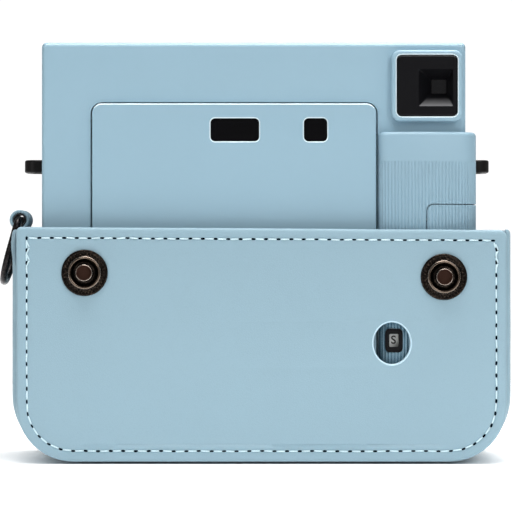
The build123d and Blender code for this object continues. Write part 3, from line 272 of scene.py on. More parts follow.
def brushed_metal(name, color, roughness=0.3, stretch=(1, 1, 30)):
    """Fine scratches across the axis whose coordinates are stretched."""
    s = Shader(name, color, roughness, 1.0)
    lines = s.noise(1.0, 4, 0.7, stretch)
    s.rough(lines, roughness - 0.1, roughness + 0.15)
    s.bump(lines, 0.01, 0.4)
    return s.material


def woven_lining(name, color):
    """Plain-weave lining cloth."""
    s = Shader(name, color, 0.9, Sheen_Weight=0.4)
    s.tint(s.noise(0.5, 4), shade(color, 0.8), 0.5)
    s.bump(s.waves(0.55, "X"), 0.08, 0.6)
    s.bump(s.waves(0.55, "Z"), 0.08, 0.6)
    s.bump(s.noise(6.0, 3), 0.03)
    return s.material


def clear(name, color, roughness=0.02):
    """Clear glass with faint dust."""
    s = Shader(name, color, roughness, Transmission_Weight=1.0, IOR=1.5)
    s.rough(s.noise(0.4, 5, 0.7), roughness, roughness + 0.05)
    s.bump(s.noise(0.15, 2), 0.01, 0.2)
    return s.material


def glossy(name, color, roughness=0.12, grain_depth=0.004, **inputs):
    """Polished or coated surface with faint smears."""
    s = Shader(name, color, roughness, **inputs)
    s.tint(s.noise(0.15, 5, 0.7), shade(color, 0.8), 0.4)
    s.rough(s.noise(0.25, 6, 0.75), roughness, roughness + 0.12)
    s.bump(s.noise(0.8, 4), grain_depth)
    return s.material


def film_paper(name, color):
    """Stacked sheets: thin lines where the sheets' edges show."""
    s = Shader(name, color, 0.55)
    s.tint(s.waves(0.6, "Y"), shade(color, 0.7), 0.5)
    s.bump(s.waves(0.6, "Y"), 0.05)
    s.bump(s.noise(3.0, 3), 0.01)
    return s.material


def circuit_board(name, color):
    """Solder mask with raised tracks."""
    s = Shader(name, color, 0.35)
    tracks = s.ramp(s.cells(0.35, "DISTANCE_TO_EDGE", 0.35), 0.06, 0.10)
    s.tint(tracks, shade(color, 0.6), 0.8)
    s.bump(tracks, 0.03)
    s.rough(s.noise(0.5), 0.3, 0.45)
    return s.material


def foam(name, color, **inputs):
    """Open-cell foam."""
    s = Shader(name, color, 0.95, **inputs)
    s.tint(s.noise(2.0, 4), shade(color, 0.5), 0.6)
    s.bump(s.cells(2.2, "F1"), 0.15)
    return s.material


BODY = moulded_plastic("body_plastic", BLUE, crease_shade=CREASE_SHADE_BLUE)
RIB = moulded_plastic("ribbed_grip_plastic", GRIP_BLUE, 0.45, 6.0, 0.008, peep_hole=PEEP_HOLE[:2])
# Pale plastic for painted highlights on chamfers and rounded edges
EDGE = moulded_plastic("painted_highlight_edge", HIGHLIGHT_BLUE, 0.3)
LEATHER = smooth_leather("case_leather", LEATHER_BLUE, crease_shade=CREASE_SHADE_BLUE)
LEATHER_EDGE = smooth_leather("painted_leather_edge", (0.50, 0.68, 0.78), 0.4)
LINING = woven_lining("case_lining", (0.20, 0.30, 0.36))
# Near-black inner layer of the tab: painted shade inside the loop
TAB_LINING_SHADE = smooth_leather("tab_lining_painted_shade", (0.012, 0.012, 0.013), 0.45)
THREAD = thread("sewing_thread", (0.62, 0.80, 0.86))
# Near-black without shine: painted shade of the needle holes
NEEDLE_HOLE_SHADE = foam("needle_hole", (0.002, 0.006, 0.011), Specular_IOR_Level=0.0)
STUD_METAL = aged_metal("stud_metal", (0.012, 0.010, 0.009), (0.110, 0.080, 0.060), 0.22)
# Pale metal on the stud's thin rims: painted highlight
STUD_HIGHLIGHT_RIM = aged_metal("stud_rim_painted_highlight", (0.45, 0.38, 0.33), (0.25, 0.18, 0.15), 0.22)
# Paler metal on the ridge: partly a painted highlight, and its low roughness also catches real highlights
STUD_RIDGE = aged_metal("stud_ridge_painted_highlight", (0.150, 0.115, 0.090), (0.055, 0.040, 0.030), 0.15)
STUD_PIT = glossy("stud_post_pit", (0.030, 0.012, 0.007), 0.6, Specular_IOR_Level=0.1)
RING_METAL = aged_metal("ring_metal", (0.016, 0.015, 0.016), (0.070, 0.062, 0.056), 0.26)
BLACK = moulded_plastic("black_plastic", SOFT_BLACK, 0.42, 5.0, 0.010, Specular_IOR_Level=0.12)
LUG = glossy("lug_lacquer", (0.006, 0.005, 0.005), 0.25, Specular_IOR_Level=0.2)
EYEPIECE_Y = node_box("eyepiece")[0][1]
EYEPIECE = moulded_plastic("eyepiece_plastic", SOFT_BLACK, 0.36, 5.0, 0.010,
                           eye_lip=(EYEPIECE_Y + 3.2, EYEPIECE_Y + 0.1), Specular_IOR_Level=0.12)
GREY = moulded_plastic("exit_grey_plastic", (0.22, 0.24, 0.25), 0.45)
DARK_CLEAR = glossy("dark_clear_plastic", (0.0015, 0.0015, 0.002), 0.08, Specular_IOR_Level=0.15)
# Opaque near-black glass: painted shade of the dark view through the eyepiece
EYE_GLASS_SHADE = glossy("eyepiece_glass_painted_shade", (0.008, 0.008, 0.009), 0.10, Specular_IOR_Level=0.3)
CLEAR = clear("clear_glass", (0.93, 0.95, 0.96))
COATED = glossy("coated_lens_glass", (0.010, 0.012, 0.030), 0.04, 0.0, Coat_Weight=1.0)
FROSTED = glossy("flash_diffuser", (0.72, 0.74, 0.74), 0.18, 0.02)
STEEL = brushed_metal("bright_steel", (0.55, 0.55, 0.56))
DARK_STEEL = brushed_metal("dark_steel", (0.06, 0.06, 0.065), 0.4)
LENS_METAL = brushed_metal("lens_ring_metal", (0.42, 0.44, 0.46), 0.33, (1, 30, 1))
BARREL = moulded_plastic("barrel_plastic", (0.10, 0.11, 0.12), 0.35)
BRASS = brushed_metal("brass", (0.65, 0.45, 0.18), 0.25)
GEAR = moulded_plastic("gear_plastic", (0.62, 0.58, 0.47), 0.4)
MIRROR = glossy("mirror_coat", (0.80, 0.82, 0.83), 0.03, 0.0, Metallic=1.0)
BUTTON = glossy("button_plastic", (0.62, 0.66, 0.68), 0.25)
DIAL = glossy("dial_plastic", (0.80, 0.82, 0.80), 0.35)
INK = moulded_plastic("printed_ink", (0.006, 0.006, 0.007), 0.5)
WRAP = glossy("cell_wrap", (0.03, 0.06, 0.22), 0.25)
BOARD = circuit_board("circuit_board", (0.01, 0.12, 0.05))
PAPER = film_paper("film_sheets", (0.62, 0.62, 0.58))
SEAL = foam("seal_foam", (0.01, 0.01, 0.01))

NODE_MATERIALS = {
    BODY: ["rear_cover", "front_cover", "film_door", "door_latch", "viewfinder_frame"],
    EYEPIECE: ["eyepiece"],
    BLACK: ["counter_window", "viewfinder_tube", "chassis", "film_pack", "light_cone",
            "shutter_plate", "lens_mount", "battery_holder", "exit_flap"],
    GREY: ["exit_trim"],
    LUG: ["strap_lug_left", "strap_lug_right"],
    DIAL: ["counter_dial"],
    DARK_CLEAR: ["door_windows", "front_windows"],
    CLEAR: ["flash_tube"],
    COATED: ["lens_glass"],
    EYE_GLASS_SHADE: ["eyepiece_lens"],
    FROSTED: ["flash_lens"],
    STEEL: ["door_hinge_pins", "door_springs", "pick_claw", "drive_roller", "pinch_roller",
            "film_motor", "roller_bracket", "battery_contacts", "cover_screws"],
    DARK_STEEL: ["shutter_blade_left", "shutter_blade_right"],
    RING_METAL: ["d_ring"],
    LENS_METAL: ["lens_ring"],
    BARREL: ["lens_barrel"],
    MIRROR: ["portrait_mirror", "flash_reflector"],
    BUTTON: ["shutter_button"],
    GEAR: ["drive_roller_gear", "pinch_roller_gear", "idler_gear"],
    BRASS: ["motor_pinion"],
    WRAP: ["battery_cells", "flash_capacitor"],
    BOARD: ["main_board"],
    PAPER: ["film_stack"],
    SEAL: ["door_seal"],
    LINING: ["case_base_board", "case_pad"],
}
for material, names in NODE_MATERIALS.items():
    for name in names:
        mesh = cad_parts[name].data
        mesh.materials.clear()
        mesh.materials.append(material)


def polished_faces(name, chosen):
    """Gives the chosen faces of a node a pale colour: a painted highlight along edges that catch the
    light.
    """
    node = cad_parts[name]
    node.data.materials.append(EDGE)
    for face in node.data.polygons:
        if chosen(face.normal, node.matrix_world @ face.center / MM):
            face.material_index = 1


finder_low, finder_high = node_box("viewfinder_frame")
FINDER_X, FINDER_Z = [(finder_low[i] + finder_high[i]) / 2 for i in (0, 2)]
# Half width of the finder frame without its own outer rounding
FINDER_REACH = (finder_high[0] - finder_low[0]) / 2 - 1.2
windows_low, windows_high = node_box("door_windows")
WINDOW_RIM = 2.0
DOOR_TOP = node_box("film_door")[1][2]
DOOR_ROUND = 1.5


def finder_rim(normal, at):
    """The chamfer round the opening of the finder's frame."""
    inside = abs(at.x - FINDER_X) < FINDER_REACH and abs(at.z - FINDER_Z) < FINDER_REACH
    return inside and 0.2 < abs(normal.y) < 0.92


def door_rim(normal, at):
    """The chamfers round the door's windows and the rounding along its top edge."""
    by_windows = all(windows_low[i] - WINDOW_RIM < at[i] < windows_high[i] + WINDOW_RIM for i in (0, 2))
    top_edge = normal.z > 0.25 and abs(normal.y) < 0.96 and at.z > DOOR_TOP - DOOR_ROUND
    return by_windows and 0.2 < abs(normal.y) < 0.95 or top_edge


# Painted highlights on the finder frame's inner chamfer and on the door's window chamfers and top edge
polished_faces("viewfinder_frame", finder_rim)
polished_faces("film_door", door_rim)


# ---------------- mesh helpers

def placed(name, data):
    """A new object in the scene."""
    made = bpy.data.objects.new(name, data)
    bpy.context.scene.collection.objects.link(made)
    return made


def mesh_of(name, points, faces):
    """A mesh in metres from points in millimetres."""
    mesh = bpy.data.meshes.new(name)
    mesh.from_pydata([tuple(v * MM for v in p) for p in points], [], faces)
    return mesh


def mesh_piece(name, points, faces, materials, body, face_materials=None, smooth=True):
    """A mesh object from points in millimetres, riding on a body and taking a material slot."""
    mesh = mesh_of(name, points, faces)
    for material in materials:
        mesh.materials.append(material)
    if face_materials:
        mesh.polygons.foreach_set("material_index", face_materials)
    mesh.polygons.foreach_set("use_smooth", [smooth] * len(mesh.polygons))
    mesh.update()
    piece = placed(name, mesh)
    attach(piece, body)
    return piece


def ring_faces(first, second, count, closed=True):
    """Quads between two loops of count points that start at two indices."""
    steps = count if closed else count - 1
    return [(first + i, first + (i + 1) % count, second + (i + 1) % count, second + i)
            for i in range(steps)]


class Builder:
    """Collects points and faces, with one material index per face."""

    def __init__(self):
        self.points, self.faces, self.indices = [], [], []

    def loop(self, points):
        start = len(self.points)
        self.points += points
        return start

    def add(self, faces, material=0):
        self.faces += faces
        self.indices += [material] * len(faces)

    def skin(self, loops, closed=True, material=0):
        """Quads over a list of loops with the same number of points. Returns each loop's start."""
        starts = [self.loop(points) for points in loops]
        for first, second in zip(starts, starts[1:]):
            self.add(ring_faces(first, second, len(loops[0]), closed), material)
        return starts

    def fill(self, outlines, material=0, flip=False):
        """Triangles inside the first loop and outside the others, each given by (start, count)."""
        flat = [[Vector((self.points[s + i][0], self.points[s + i][2], 0)) for i in range(n)]
                for s, n in outlines]
        index = [s + i for s, n in outlines for i in range(n)]
        triangles = [tuple(index[i] for i in t) for t in tessellate_polygon(flat)]
        self.add([t[::-1] if flip else t for t in triangles], material)

    def piece(self, name, materials, body, slot):
        made = mesh_piece(name, self.points, self.faces, materials, body, self.indices)
        recalculate_normals(made.data)
        return made


def recalculate_normals(mesh):
    """Turns every face outward."""
    work = bmesh.new()
    work.from_mesh(mesh)
    bmesh.ops.recalc_face_normals(work, faces=work.faces)
    work.to_mesh(mesh)
    work.free()


def boolean(piece, cutter, operation):
    """Cuts or intersects a piece's mesh with another mesh object, then removes that object."""
    modifier = piece.modifiers.new("cut", "BOOLEAN")
    modifier.object = cutter
    modifier.operation = operation
    modifier.solver = "EXACT"
    bpy.context.view_layer.update()
    evaluated = piece.evaluated_get(bpy.context.evaluated_depsgraph_get())
    result = bpy.data.meshes.new_from_object(evaluated)
    piece.modifiers.remove(modifier)
    piece.data = result
    bpy.data.objects.remove(cutter)


def fillet_polygon(corners, inset=0.0, arc_steps=12, side_steps=24):
    """Points round a polygon of (x, z, radius) corners in clockwise order, pulled inward by inset.

    Every inset gives the same number of points, so the loops can be skinned to each other.
    """
    count = len(corners)
    flat = [Vector(c[:2]) for c in corners]
    ends = []
    for i, (_, _, radius) in enumerate(corners):
        before = (flat[i] - flat[i - 1]).normalized()
        after = (flat[(i + 1) % count] - flat[i]).normalized()
        inward_before = Vector((before.y, -before.x))
        inward_after = Vector((after.y, -after.x))
        turn = before.x * after.y - before.y * after.x
        shifted = flat[i] + (inward_before + inward_after) * inset / (1 + inward_before.dot(inward_after))
        bend = max(radius - inset, 0.05) if turn < 0 else radius + inset
        side = 1 if turn < 0 else -1
        half = math.acos(max(-1, min(1, before.dot(after)))) / 2
        centre = shifted + (inward_before + inward_after).normalized() * side * bend / math.cos(half)
        first = -inward_before * side
        swing = -2 * half * side
        arc = []
        for k in range(arc_steps + 1):
            a = swing * k / arc_steps
            direction = Vector((first.x * math.cos(a) - first.y * math.sin(a),
                                first.x * math.sin(a) + first.y * math.cos(a)))
            arc.append(centre + direction * bend)
        ends.append(arc)
    points = []
    for i, arc in enumerate(ends):
        points += arc
        start, stop = arc[-1], ends[(i + 1) % count][0]
        points += [start.lerp(stop, k / side_steps) for k in range(1, side_steps)]
    return [(p.x, p.y) for p in points]


def prism(corners, y):
    """A closed prism over a rounded polygon between two depths, for cutting."""
    outline = fillet_polygon(corners, arc_steps=8, side_steps=1)
    made = Builder()
    starts = made.skin([[(x, depth, z) for x, z in outline] for depth in y])
    for k, start in enumerate(starts):
        made.fill([(start, len(outline))], flip=bool(k))
    mesh = mesh_of("cutter", made.points, made.faces)
    recalculate_normals(mesh)
    return placed("cutter", mesh)


# ---------------- leather panels

case_low, case_high = node_box("case_back_panel")
gusset_high = node_box("case_gusset")[1]
front_low, front_high = node_box("case_front_panel")
HALF = case_high[0]
PANEL_BOTTOM = case_low[2]
BACK_FACE = case_low[1]
BACK_INNER = case_high[1]
CORNER = 17.0
# The back panel's upper edge slopes a little, as the leather has set
TOP_LEFT, TOP_RIGHT = case_high[2] + 0.75, case_high[2] - 0.15
STITCH_INSET = 3.2
HEM = 0.35
WAVY_ABOVE = 30

# Depth of the leather's face below the panel's plane at each distance from its edge
EDGE_PROFILE = [(0.0, 0.95), (0.08, 0.62), (0.28, 0.32), (0.6, 0.12), (1.1, 0.03), (1.9, 0.0),
                (2.55, 0.03), (2.85, 0.13), (3.05, 0.22), (3.35, 0.22), (3.55, 0.13), (3.9, 0.03),
                (5.2, 0.0)]


def ellipse(x, z, half_width, half_height, y, sides):
    """Points round an ellipse at one depth."""
    return [(x + half_width * math.cos(math.tau * k / sides), y,
             z + half_height * math.sin(math.tau * k / sides)) for k in range(sides)]


def wavy(x, z, size=0.12):
    """A gentle hand-made unevenness of an edge."""
    return size * noise.noise(Vector((x * 0.055, 3.1, z * 0.055)))


def leather_panel(name, corners, face, inner, node, holes=()):
    """Leather panel with a rounded edge and a stitched groove; face and inner are its two depths."""
    outward = -1 if face < inner else 1
    made = Builder()
    loops = []
    for inset, sink in [(0.0, None)] + EDGE_PROFILE:
        depth = inner + outward * 0.25 if sink is None else face - outward * sink
        outline = fillet_polygon(corners, inset)
        loops.append([(x + wavy(z, x) * 0.5, depth + wavy(x * 0.6, z * 0.6, 0.10) * (inset > 0.5),
                       z + wavy(x, z) * (z > WAVY_ABOVE)) for x, z in outline])
    starts = made.skin(loops)
    count = len(loops[0])
    outlines = [(starts[-1], count)]
    inner_hem = [(x, inner, z) for x, z in fillet_polygon(corners, HEM)]
    back = made.skin([loops[0], inner_hem])
    backs = [(back[1], count)]
    rim_profile = [(0.45, face), (0.22, face - outward * 0.05), (0.05, face - outward * 0.22),
                   (0.0, face - outward * 0.5), (0.0, inner + outward * 0.1), (0.12, inner)]
    for centre_x, centre_z, radius_x, radius_z in holes:
        steps = 64
        rim = made.skin([ellipse(centre_x, centre_z, radius_x + grow, radius_z + grow, depth, steps)
                         for grow, depth in rim_profile], material=2)
        outlines.append((rim[0], steps))
        backs.append((rim[-1], steps))
    made.fill(outlines)
    made.fill(backs, material=1)
    piece = made.piece(name, [LEATHER, LINING, LEATHER_EDGE], "case", "case_leather")
    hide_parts(node)


BACK_CORNERS = [(-HALF, TOP_LEFT, 1.6), (HALF, TOP_RIGHT, 2.4), (HALF, PANEL_BOTTOM, CORNER),
                (-HALF, PANEL_BOTTOM, CORNER)]
leather_panel("back_panel_leather", BACK_CORNERS, BACK_FACE, BACK_INNER, "case_back_panel",
              [PEEP_HOLE])

# The notch round the lens: its rounded corners end just short of each other, because two arcs that
# touch can't be filled
LENS_X, LENS_Z, NOTCH = -8.2, 62.0, 34.0
FRONT_TOP = front_high[2]
FRONT_CORNERS = [(-HALF, FRONT_TOP, 2.0), (LENS_X - NOTCH, FRONT_TOP, 5.0),
                 (LENS_X - NOTCH, LENS_Z - NOTCH, NOTCH - 1.0),
                 (LENS_X + NOTCH, LENS_Z - NOTCH, NOTCH - 1.0),
                 (LENS_X + NOTCH, FRONT_TOP, 5.0), (HALF, FRONT_TOP, 2.0),
                 (HALF, PANEL_BOTTOM, CORNER), (-HALF, PANEL_BOTTOM, CORNER)]
leather_panel("front_panel_leather", FRONT_CORNERS, front_high[1], front_low[1], "case_front_panel")


# ---------------- gusset

GUSSET_TOP = gusset_high[2]
GUSSET_HALF = gusset_high[0]
SEAM_Y = gusset_high[1]
GUSSET_CORNER = 19.6
TOP_ROLL = 1.3
SEAM_DROP, SEAM_POWER = 1.5, 2.2
LEAN_START, LEAN = 60.5, 2.4
LEATHER_THICK = 2.3
RAW_EDGE = 0.9


def gusset_outline(inset):
    """U-shaped path of the gusset pulled in by inset, as (x, z) from top left to top right."""
    half, bottom, corner = GUSSET_HALF - inset, inset, GUSSET_CORNER - inset
    top = GUSSET_TOP - TOP_ROLL
    rise = [top - k * (top - GUSSET_CORNER) / 20 for k in range(20)]
    arc = [math.radians(90 * k / 18) for k in range(19)]
    floor = [-half + corner + k * (half - corner) * 2 / 16 for k in range(1, 16)]
    left = [(-half, z) for z in rise]
    left += [(-half + corner - corner * math.cos(a), bottom + corner - corner * math.sin(a)) for a in arc]
    return left + [(x, bottom) for x in floor] + [(-x, z) for x, z in reversed(left)]


def leaning_inset(inset, y, z):
    """Inset of the left wall where its middle leans in behind the D-ring and its edges flare."""
    climb = (z - LEAN_START) / (GUSSET_TOP - LEAN_START)
    across = abs(y / SEAM_Y)
    depth = SEAM_DROP * across ** SEAM_POWER
    thickness = inset - depth if inset > depth + 1.0 else 0.0
    flare = 0.6 * math.sin(math.pi * min(climb, 1.0)) * max(0.0, across - 0.55) / 0.45
    return max(depth - flare, LEAN * climb * (1 - 0.55 * across ** 3)) + thickness


def rolled_top(base):
    """Loops that close a top end of the strip with a half round, from its last loop upward."""
    middle = [(a[0] + b[0]) / 2 for a, b in zip(base, reversed(base))]
    cap = []
    for degrees in (25, 50, 75, 90):
        shrink = max(math.cos(math.radians(degrees)), 0.08)
        lift = TOP_ROLL * math.sin(math.radians(degrees))
        cap.append([(m + (x - m) * shrink, y * (0.99 if abs(y) > 23 else 1), z + lift)
                    for (x, y, z), m in zip(base, middle)])
    return cap


def gusset_strip():
    """One strip round both sides and the bottom, pillowed outward between its two seams."""
    across = [-1 + 2 * k / 24 for k in range(25)]
    outer = [(SEAM_DROP * abs(t) ** SEAM_POWER + (RAW_EDGE if abs(t) == 1 else 0.0), t * SEAM_Y)
             for t in across]
    inside = [(LEATHER_THICK + SEAM_DROP * 0.6 * abs(t) ** SEAM_POWER, t * (SEAM_Y - 0.1))
              for t in reversed(across)]
    profile = outer + inside
    made = Builder()
    outlines = [gusset_outline(inset) for inset, _ in profile]
    loops = []
    for i in range(len(outlines[0])):
        loops.append([])
        for (inset, y), outline in zip(profile, outlines):
            x, z = outline[i]
            if x < 0 and z > LEAN_START:
                x = -GUSSET_HALF + leaning_inset(inset, y, z)
            ripple = wavy(z + y * 0.7, x + y) * 0.8
            loops[-1].append((x + math.copysign(ripple, x) * (z > 15), y, max(z, 0.0)))
    loops = rolled_top(loops[0])[::-1] + loops + rolled_top(loops[-1])
    starts = made.skin(loops)
    count = len(profile)
    half = count // 2
    for index in range(len(made.faces)):
        made.indices[index] = 1 if index % count >= half else 0
    for start, flip in ((starts[0], False), (starts[-1], True)):
        quads = [(start + k, start + k + 1, start + count - 2 - k, start + count - 1 - k)
                 for k in range(half - 1)]
        made.add([q[::-1] for q in quads] if flip else quads)
    piece = made.piece("gusset_leather", [LEATHER, LINING], "case", "case_leather")
    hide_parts("case_gusset")


gusset_strip()


# ---------------- seams

STITCH_PITCH = 3.75
STITCH_GAP = 0.58
THREAD_RADIUS, TACK_RADIUS = 0.24, 0.20
GROOVE_DEPTH = 0.20


def walk(points, pitch, closed=True):
    """Evenly spaced points along a polyline of two coordinates."""
    ring = [Vector(p) for p in points] + ([Vector(points[0])] if closed else [])
    lengths = [0.0]
    for a, b in zip(ring, ring[1:]):
        lengths.append(lengths[-1] + (b - a).length)
    count = max(1, round(lengths[-1] / pitch))
    spots, segment = [], 0
    for k in range(count + (0 if closed else 1)):
        target = lengths[-1] * k / count
        while segment < len(ring) - 2 and lengths[segment + 1] < target:
            segment += 1
        span = lengths[segment + 1] - lengths[segment]
        spots.append(ring[segment].lerp(ring[segment + 1], (target - lengths[segment]) / span))
    return spots


def thread_span(made, a, b, surface, outward, radius=THREAD_RADIUS):
    """One visible stitch: a tapered tube that rises out of one hole and dips into the next."""
    sides, steps = 8, 8
    arch, sunk = 0.30, 0.12
    run = b - a
    side = Vector((-run.y, run.x)).normalized()
    loops = []
    for k in range(steps + 1):
        t = k / steps
        swell = math.sin(math.pi * t) ** 0.45 if 0 < t < 1 else 0.0
        at = a.lerp(b, t)
        depth = surface + outward * (arch * swell - sunk)
        loops.append([])
        for s in range(sides):
            angle = math.tau * s / sides
            reach = radius * (0.55 + 0.45 * swell)
            offset = side * math.cos(angle) * reach
            loops[-1].append((at.x + offset.x, depth + math.sin(angle) * reach * outward, at.y + offset.y))
    starts = made.skin(loops)
    made.add([tuple(starts[0] + s for s in range(sides)),
              tuple(starts[-1] + s for s in reversed(range(sides)))])


def needle_hole(made, at, along, surface, outward, length=0.68, width=0.40):
    """The dark hole that a stitch goes into: a low flattened dome in the groove, near-black without shine,
    which paints the shade inside the hole.
    """
    side = Vector((-along.y, along.x))
    sides = 10
    rims = []
    for scale, lift in ((1.0, -0.06), (0.9, 0.04), (0.5, 0.075)):
        rims.append([])
        for s in range(sides):
            angle = math.tau * s / sides
            spot = at + along * math.cos(angle) * length * scale + side * math.sin(angle) * width * scale
            rims[-1].append((spot.x, surface + outward * lift, spot.y))
    starts = made.skin(rims)
    made.add([tuple(starts[-1] + s for s in range(sides))])


def sewn_pieces(name, threads, holes):
    """The threads and the needle holes of one seam as two pieces."""
    threads.piece(name + "_thread", [THREAD], "case", "case_leather")
    holes.piece(name + "_holes", [NEEDLE_HOLE_SHADE], "case", "case_leather")


def sew(name, corners, surface, outward):
    """Slightly uneven stitches all round a panel, in its groove."""
    threads, holes = Builder(), Builder()
    spots = walk(fillet_polygon(corners, STITCH_INSET), STITCH_PITCH)
    spots = [s + Vector((random.uniform(-0.08, 0.08), random.uniform(-0.10, 0.10))) for s in spots]
    for a, b in zip(spots, spots[1:] + spots[:1]):
        along = (b - a).normalized()
        tilt = Vector((-along.y, along.x)) * random.uniform(-0.07, 0.07)
        thread_span(threads, a + along * STITCH_GAP + tilt, b - along * STITCH_GAP - tilt,
                    surface, outward)
        needle_hole(holes, b, (along + tilt * 2).normalized(), surface, outward)
    sewn_pieces(name, threads, holes)


groove_back = BACK_FACE + GROOVE_DEPTH
groove_front = front_high[1] - GROOVE_DEPTH
sew("back_seam", BACK_CORNERS, groove_back, -1)
sew("front_seam", FRONT_CORNERS, groove_front, 1)


def back_tack(name, x, z_top, spread):
    """The zigzag stitches over a seam that lock it just below the panel's top corner."""
    threads, holes = Builder(), Builder()
    zigzag = [Vector((x + (spread if k % 2 else -spread) * 0.5, z_top - 1.9 * k)) for k in range(5)]
    for a, b in zip(zigzag, zigzag[1:]):
        thread_span(threads, a, b, groove_back - 0.08, -1, TACK_RADIUS)
        needle_hole(holes, b, (b - a).normalized(), groove_back - 0.06, -1, 0.36, 0.22)
    sewn_pieces(name, threads, holes)


back_tack("tack_left", -HALF + STITCH_INSET + 0.35, TOP_LEFT - 4.2, 0.9)
back_tack("tack_right", HALF - STITCH_INSET + 0.15, TOP_RIGHT - 4.2, 0.7)


# ---------------- studs

STUDS = [(-52.5, 56.6), (54.1, 55.4)]
# Radius, height above the leather and material of each ring: 0 dark, 1 bright with painted highlight, 2
# pit, 3 ridge with partly painted highlight
STUD_PROFILE = [(6.9, 0.0, 0), (6.9, 0.40, 0), (6.75, 0.66, 0), (6.45, 0.78, 0), (6.2, 0.70, 0),
                (5.3, 0.66, 0), (5.05, 0.78, 0), (4.92, 1.10, 0), (4.80, 1.36, 1), (4.62, 1.47, 3),
                (4.40, 1.50, 3), (4.16, 1.42, 3), (3.98, 1.20, 3), (3.84, 1.10, 0), (3.72, 0.70, 0),
                (3.45, 0.40, 0), (2.75, 0.38, 0), (2.50, 0.55, 0), (2.46, 3.10, 0), (2.42, 3.36, 1),
                (2.30, 3.47, 1), (2.18, 3.40, 2), (2.10, 3.10, 2), (2.02, 2.60, 2), (1.60, 2.45, 2),
                (0.60, 2.42, 2)]
RIVET_PROFILE = [(4.3, 0.95, 0), (4.3, 0.25, 0), (4.1, 0.12, 0), (0.4, 0.10, 0)]
# The knurl in the stud's dish: radius of its middle, half lengths of its long and short bars, and
# half width and height of a bar at its foot and its top
KNURLS, KNURL_RADIUS = 36, 5.76
KNURL_LONG, KNURL_SHORT = 0.52, 0.36
KNURL_FOOT, KNURL_TOP = (0.21, 0.60), (0.14, 0.86)


def lathe_along_y(made, x, z, profile, face, outward):
    """Turns a profile of (radius, height, material) round an axis along Y and closes its ends."""
    sides = 96
    starts = [made.loop(ellipse(x, z, radius, radius, face + outward * height, sides))
              for radius, height, _ in profile]
    for (first, second), (_, _, material) in zip(zip(starts, starts[1:]), profile[1:]):
        made.add(ring_faces(first, second, sides), material)
    made.add([tuple(starts[-1] + k for k in range(sides))], profile[-1][2])
    made.add([tuple(starts[0] + k for k in reversed(range(sides)))], profile[0][2])


def knurl(made, centre, k):
    """One radial bar of the knurl, every third one shorter."""
    angle = math.tau * (k + 0.2) / KNURLS
    half_length = KNURL_LONG if k % 3 else KNURL_SHORT
    out = Vector((math.cos(angle), math.sin(angle)))
    side = Vector((-out.y, out.x))
    base = len(made.points)
    for reach, (wide, lift) in ((half_length, KNURL_FOOT), (half_length * 0.8, KNURL_TOP)):
        for u, v in ((-1, -1), (1, -1), (1, 1), (-1, 1)):
            spot = centre + out * (KNURL_RADIUS + u * reach) + side * v * wide
            made.points.append((spot.x, BACK_FACE - lift, spot.y))
    made.add(ring_faces(base, base + 4, 4) + [(base + 4, base + 5, base + 6, base + 7)])


def stud_pieces():
    """Two snap studs with the flat rivets behind them, in one mesh."""
    made = Builder()
    for x, z in STUDS:
        lathe_along_y(made, x, z, STUD_PROFILE, BACK_FACE, -1)
        for k in range(KNURLS):
            knurl(made, Vector((x, z)), k)
        lathe_along_y(made, x, z, RIVET_PROFILE, BACK_INNER, -1)
    materials = [STUD_METAL, STUD_HIGHLIGHT_RIM, STUD_PIT, STUD_RIDGE]
    piece = made.piece("snap_stud_metal", materials, "case", "stud_metal")
    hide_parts("snap_studs")


stud_pieces()


# ---------------- tab of the D-ring

TAB_X, TAB_Z = -73.8, 72.6
TAB_HALF_WIDTH = node_box("d_ring_tab")[1][1]
# Radius of the tab's outer face, of the line between leather and lining, and of its bore, each with
# the two points where that line goes down into the case's seam
TAB_LINES = [(3.05, (-71.0, 68.2), (-74.6, 68.4)), (2.05, (-72.1, 68.2), (-73.7, 68.3)),
             (1.55, (-72.6, 68.2), (-73.2, 68.3))]
# Across the tab: part of its half width, and how far a layer's face is drawn in to round the edge
TAB_EDGE = [(-1.0, 0.30), (-0.965, 0.08), (-0.92, 0.0), (0.92, 0.0), (0.965, 0.08), (1.0, 0.30)]


def tab_line(radius, start, stop):
    """Side view of one face of the tab: up from its start, round the D-ring's bar and down."""
    steps = 40
    angles = [math.radians(-62 + 304 * k / steps) for k in range(steps + 1)]
    ring = [(TAB_X + radius * math.cos(a), TAB_Z + radius * math.sin(a)) for a in angles]
    return [start] + ring + [stop]


def tab_face(made, line, other, material):
    """A face of one layer of the tab, whose two edges are drawn in towards the layer's other face."""
    loops = [[(a[0] + (b[0] - a[0]) * pull, depth * TAB_HALF_WIDTH, a[1] + (b[1] - a[1]) * pull)
              for a, b in zip(line, other)] for depth, pull in TAB_EDGE]
    return made.skin(loops, closed=False, material=material)


def leather_tab():
    """Folded leather tab: a loop whose near-black inner layer paints the shade inside the loop, and whose
    ends go down into the case's seam.
    """
    outer, middle, inner = [tab_line(*line) for line in TAB_LINES]
    made = Builder()
    for first, second, material in ((outer, middle, 0), (middle, inner, 1)):
        starts = tab_face(made, first, second, material)
        inner_starts = tab_face(made, second, first, material)
        for a, b in ((starts[0], inner_starts[0]), (starts[-1], inner_starts[-1])):
            made.add(ring_faces(a, b, len(first), closed=False), material)
    piece = made.piece("d_ring_tab_leather", [LEATHER, TAB_LINING_SHADE], "case", "case_leather")
    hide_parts("d_ring_tab")


leather_tab()


# ---------------- grip and battery cover

grip_low, grip_high = node_box("grip_shell")
cover_low, cover_high = node_box("battery_cover")
GRIP_LEFT, GRIP_RIGHT, GRIP_TOP = grip_low[0], grip_high[0], grip_high[2]
rear_low, rear_high = node_box("rear_cover")
BODY_BACK, BODY_RIGHT = rear_low[1], rear_high[0]
RIB_PITCH = 1.03
RIB_DEPTH, RIB_POWER = 0.30, 1.7
RIB_TOP = 89.9
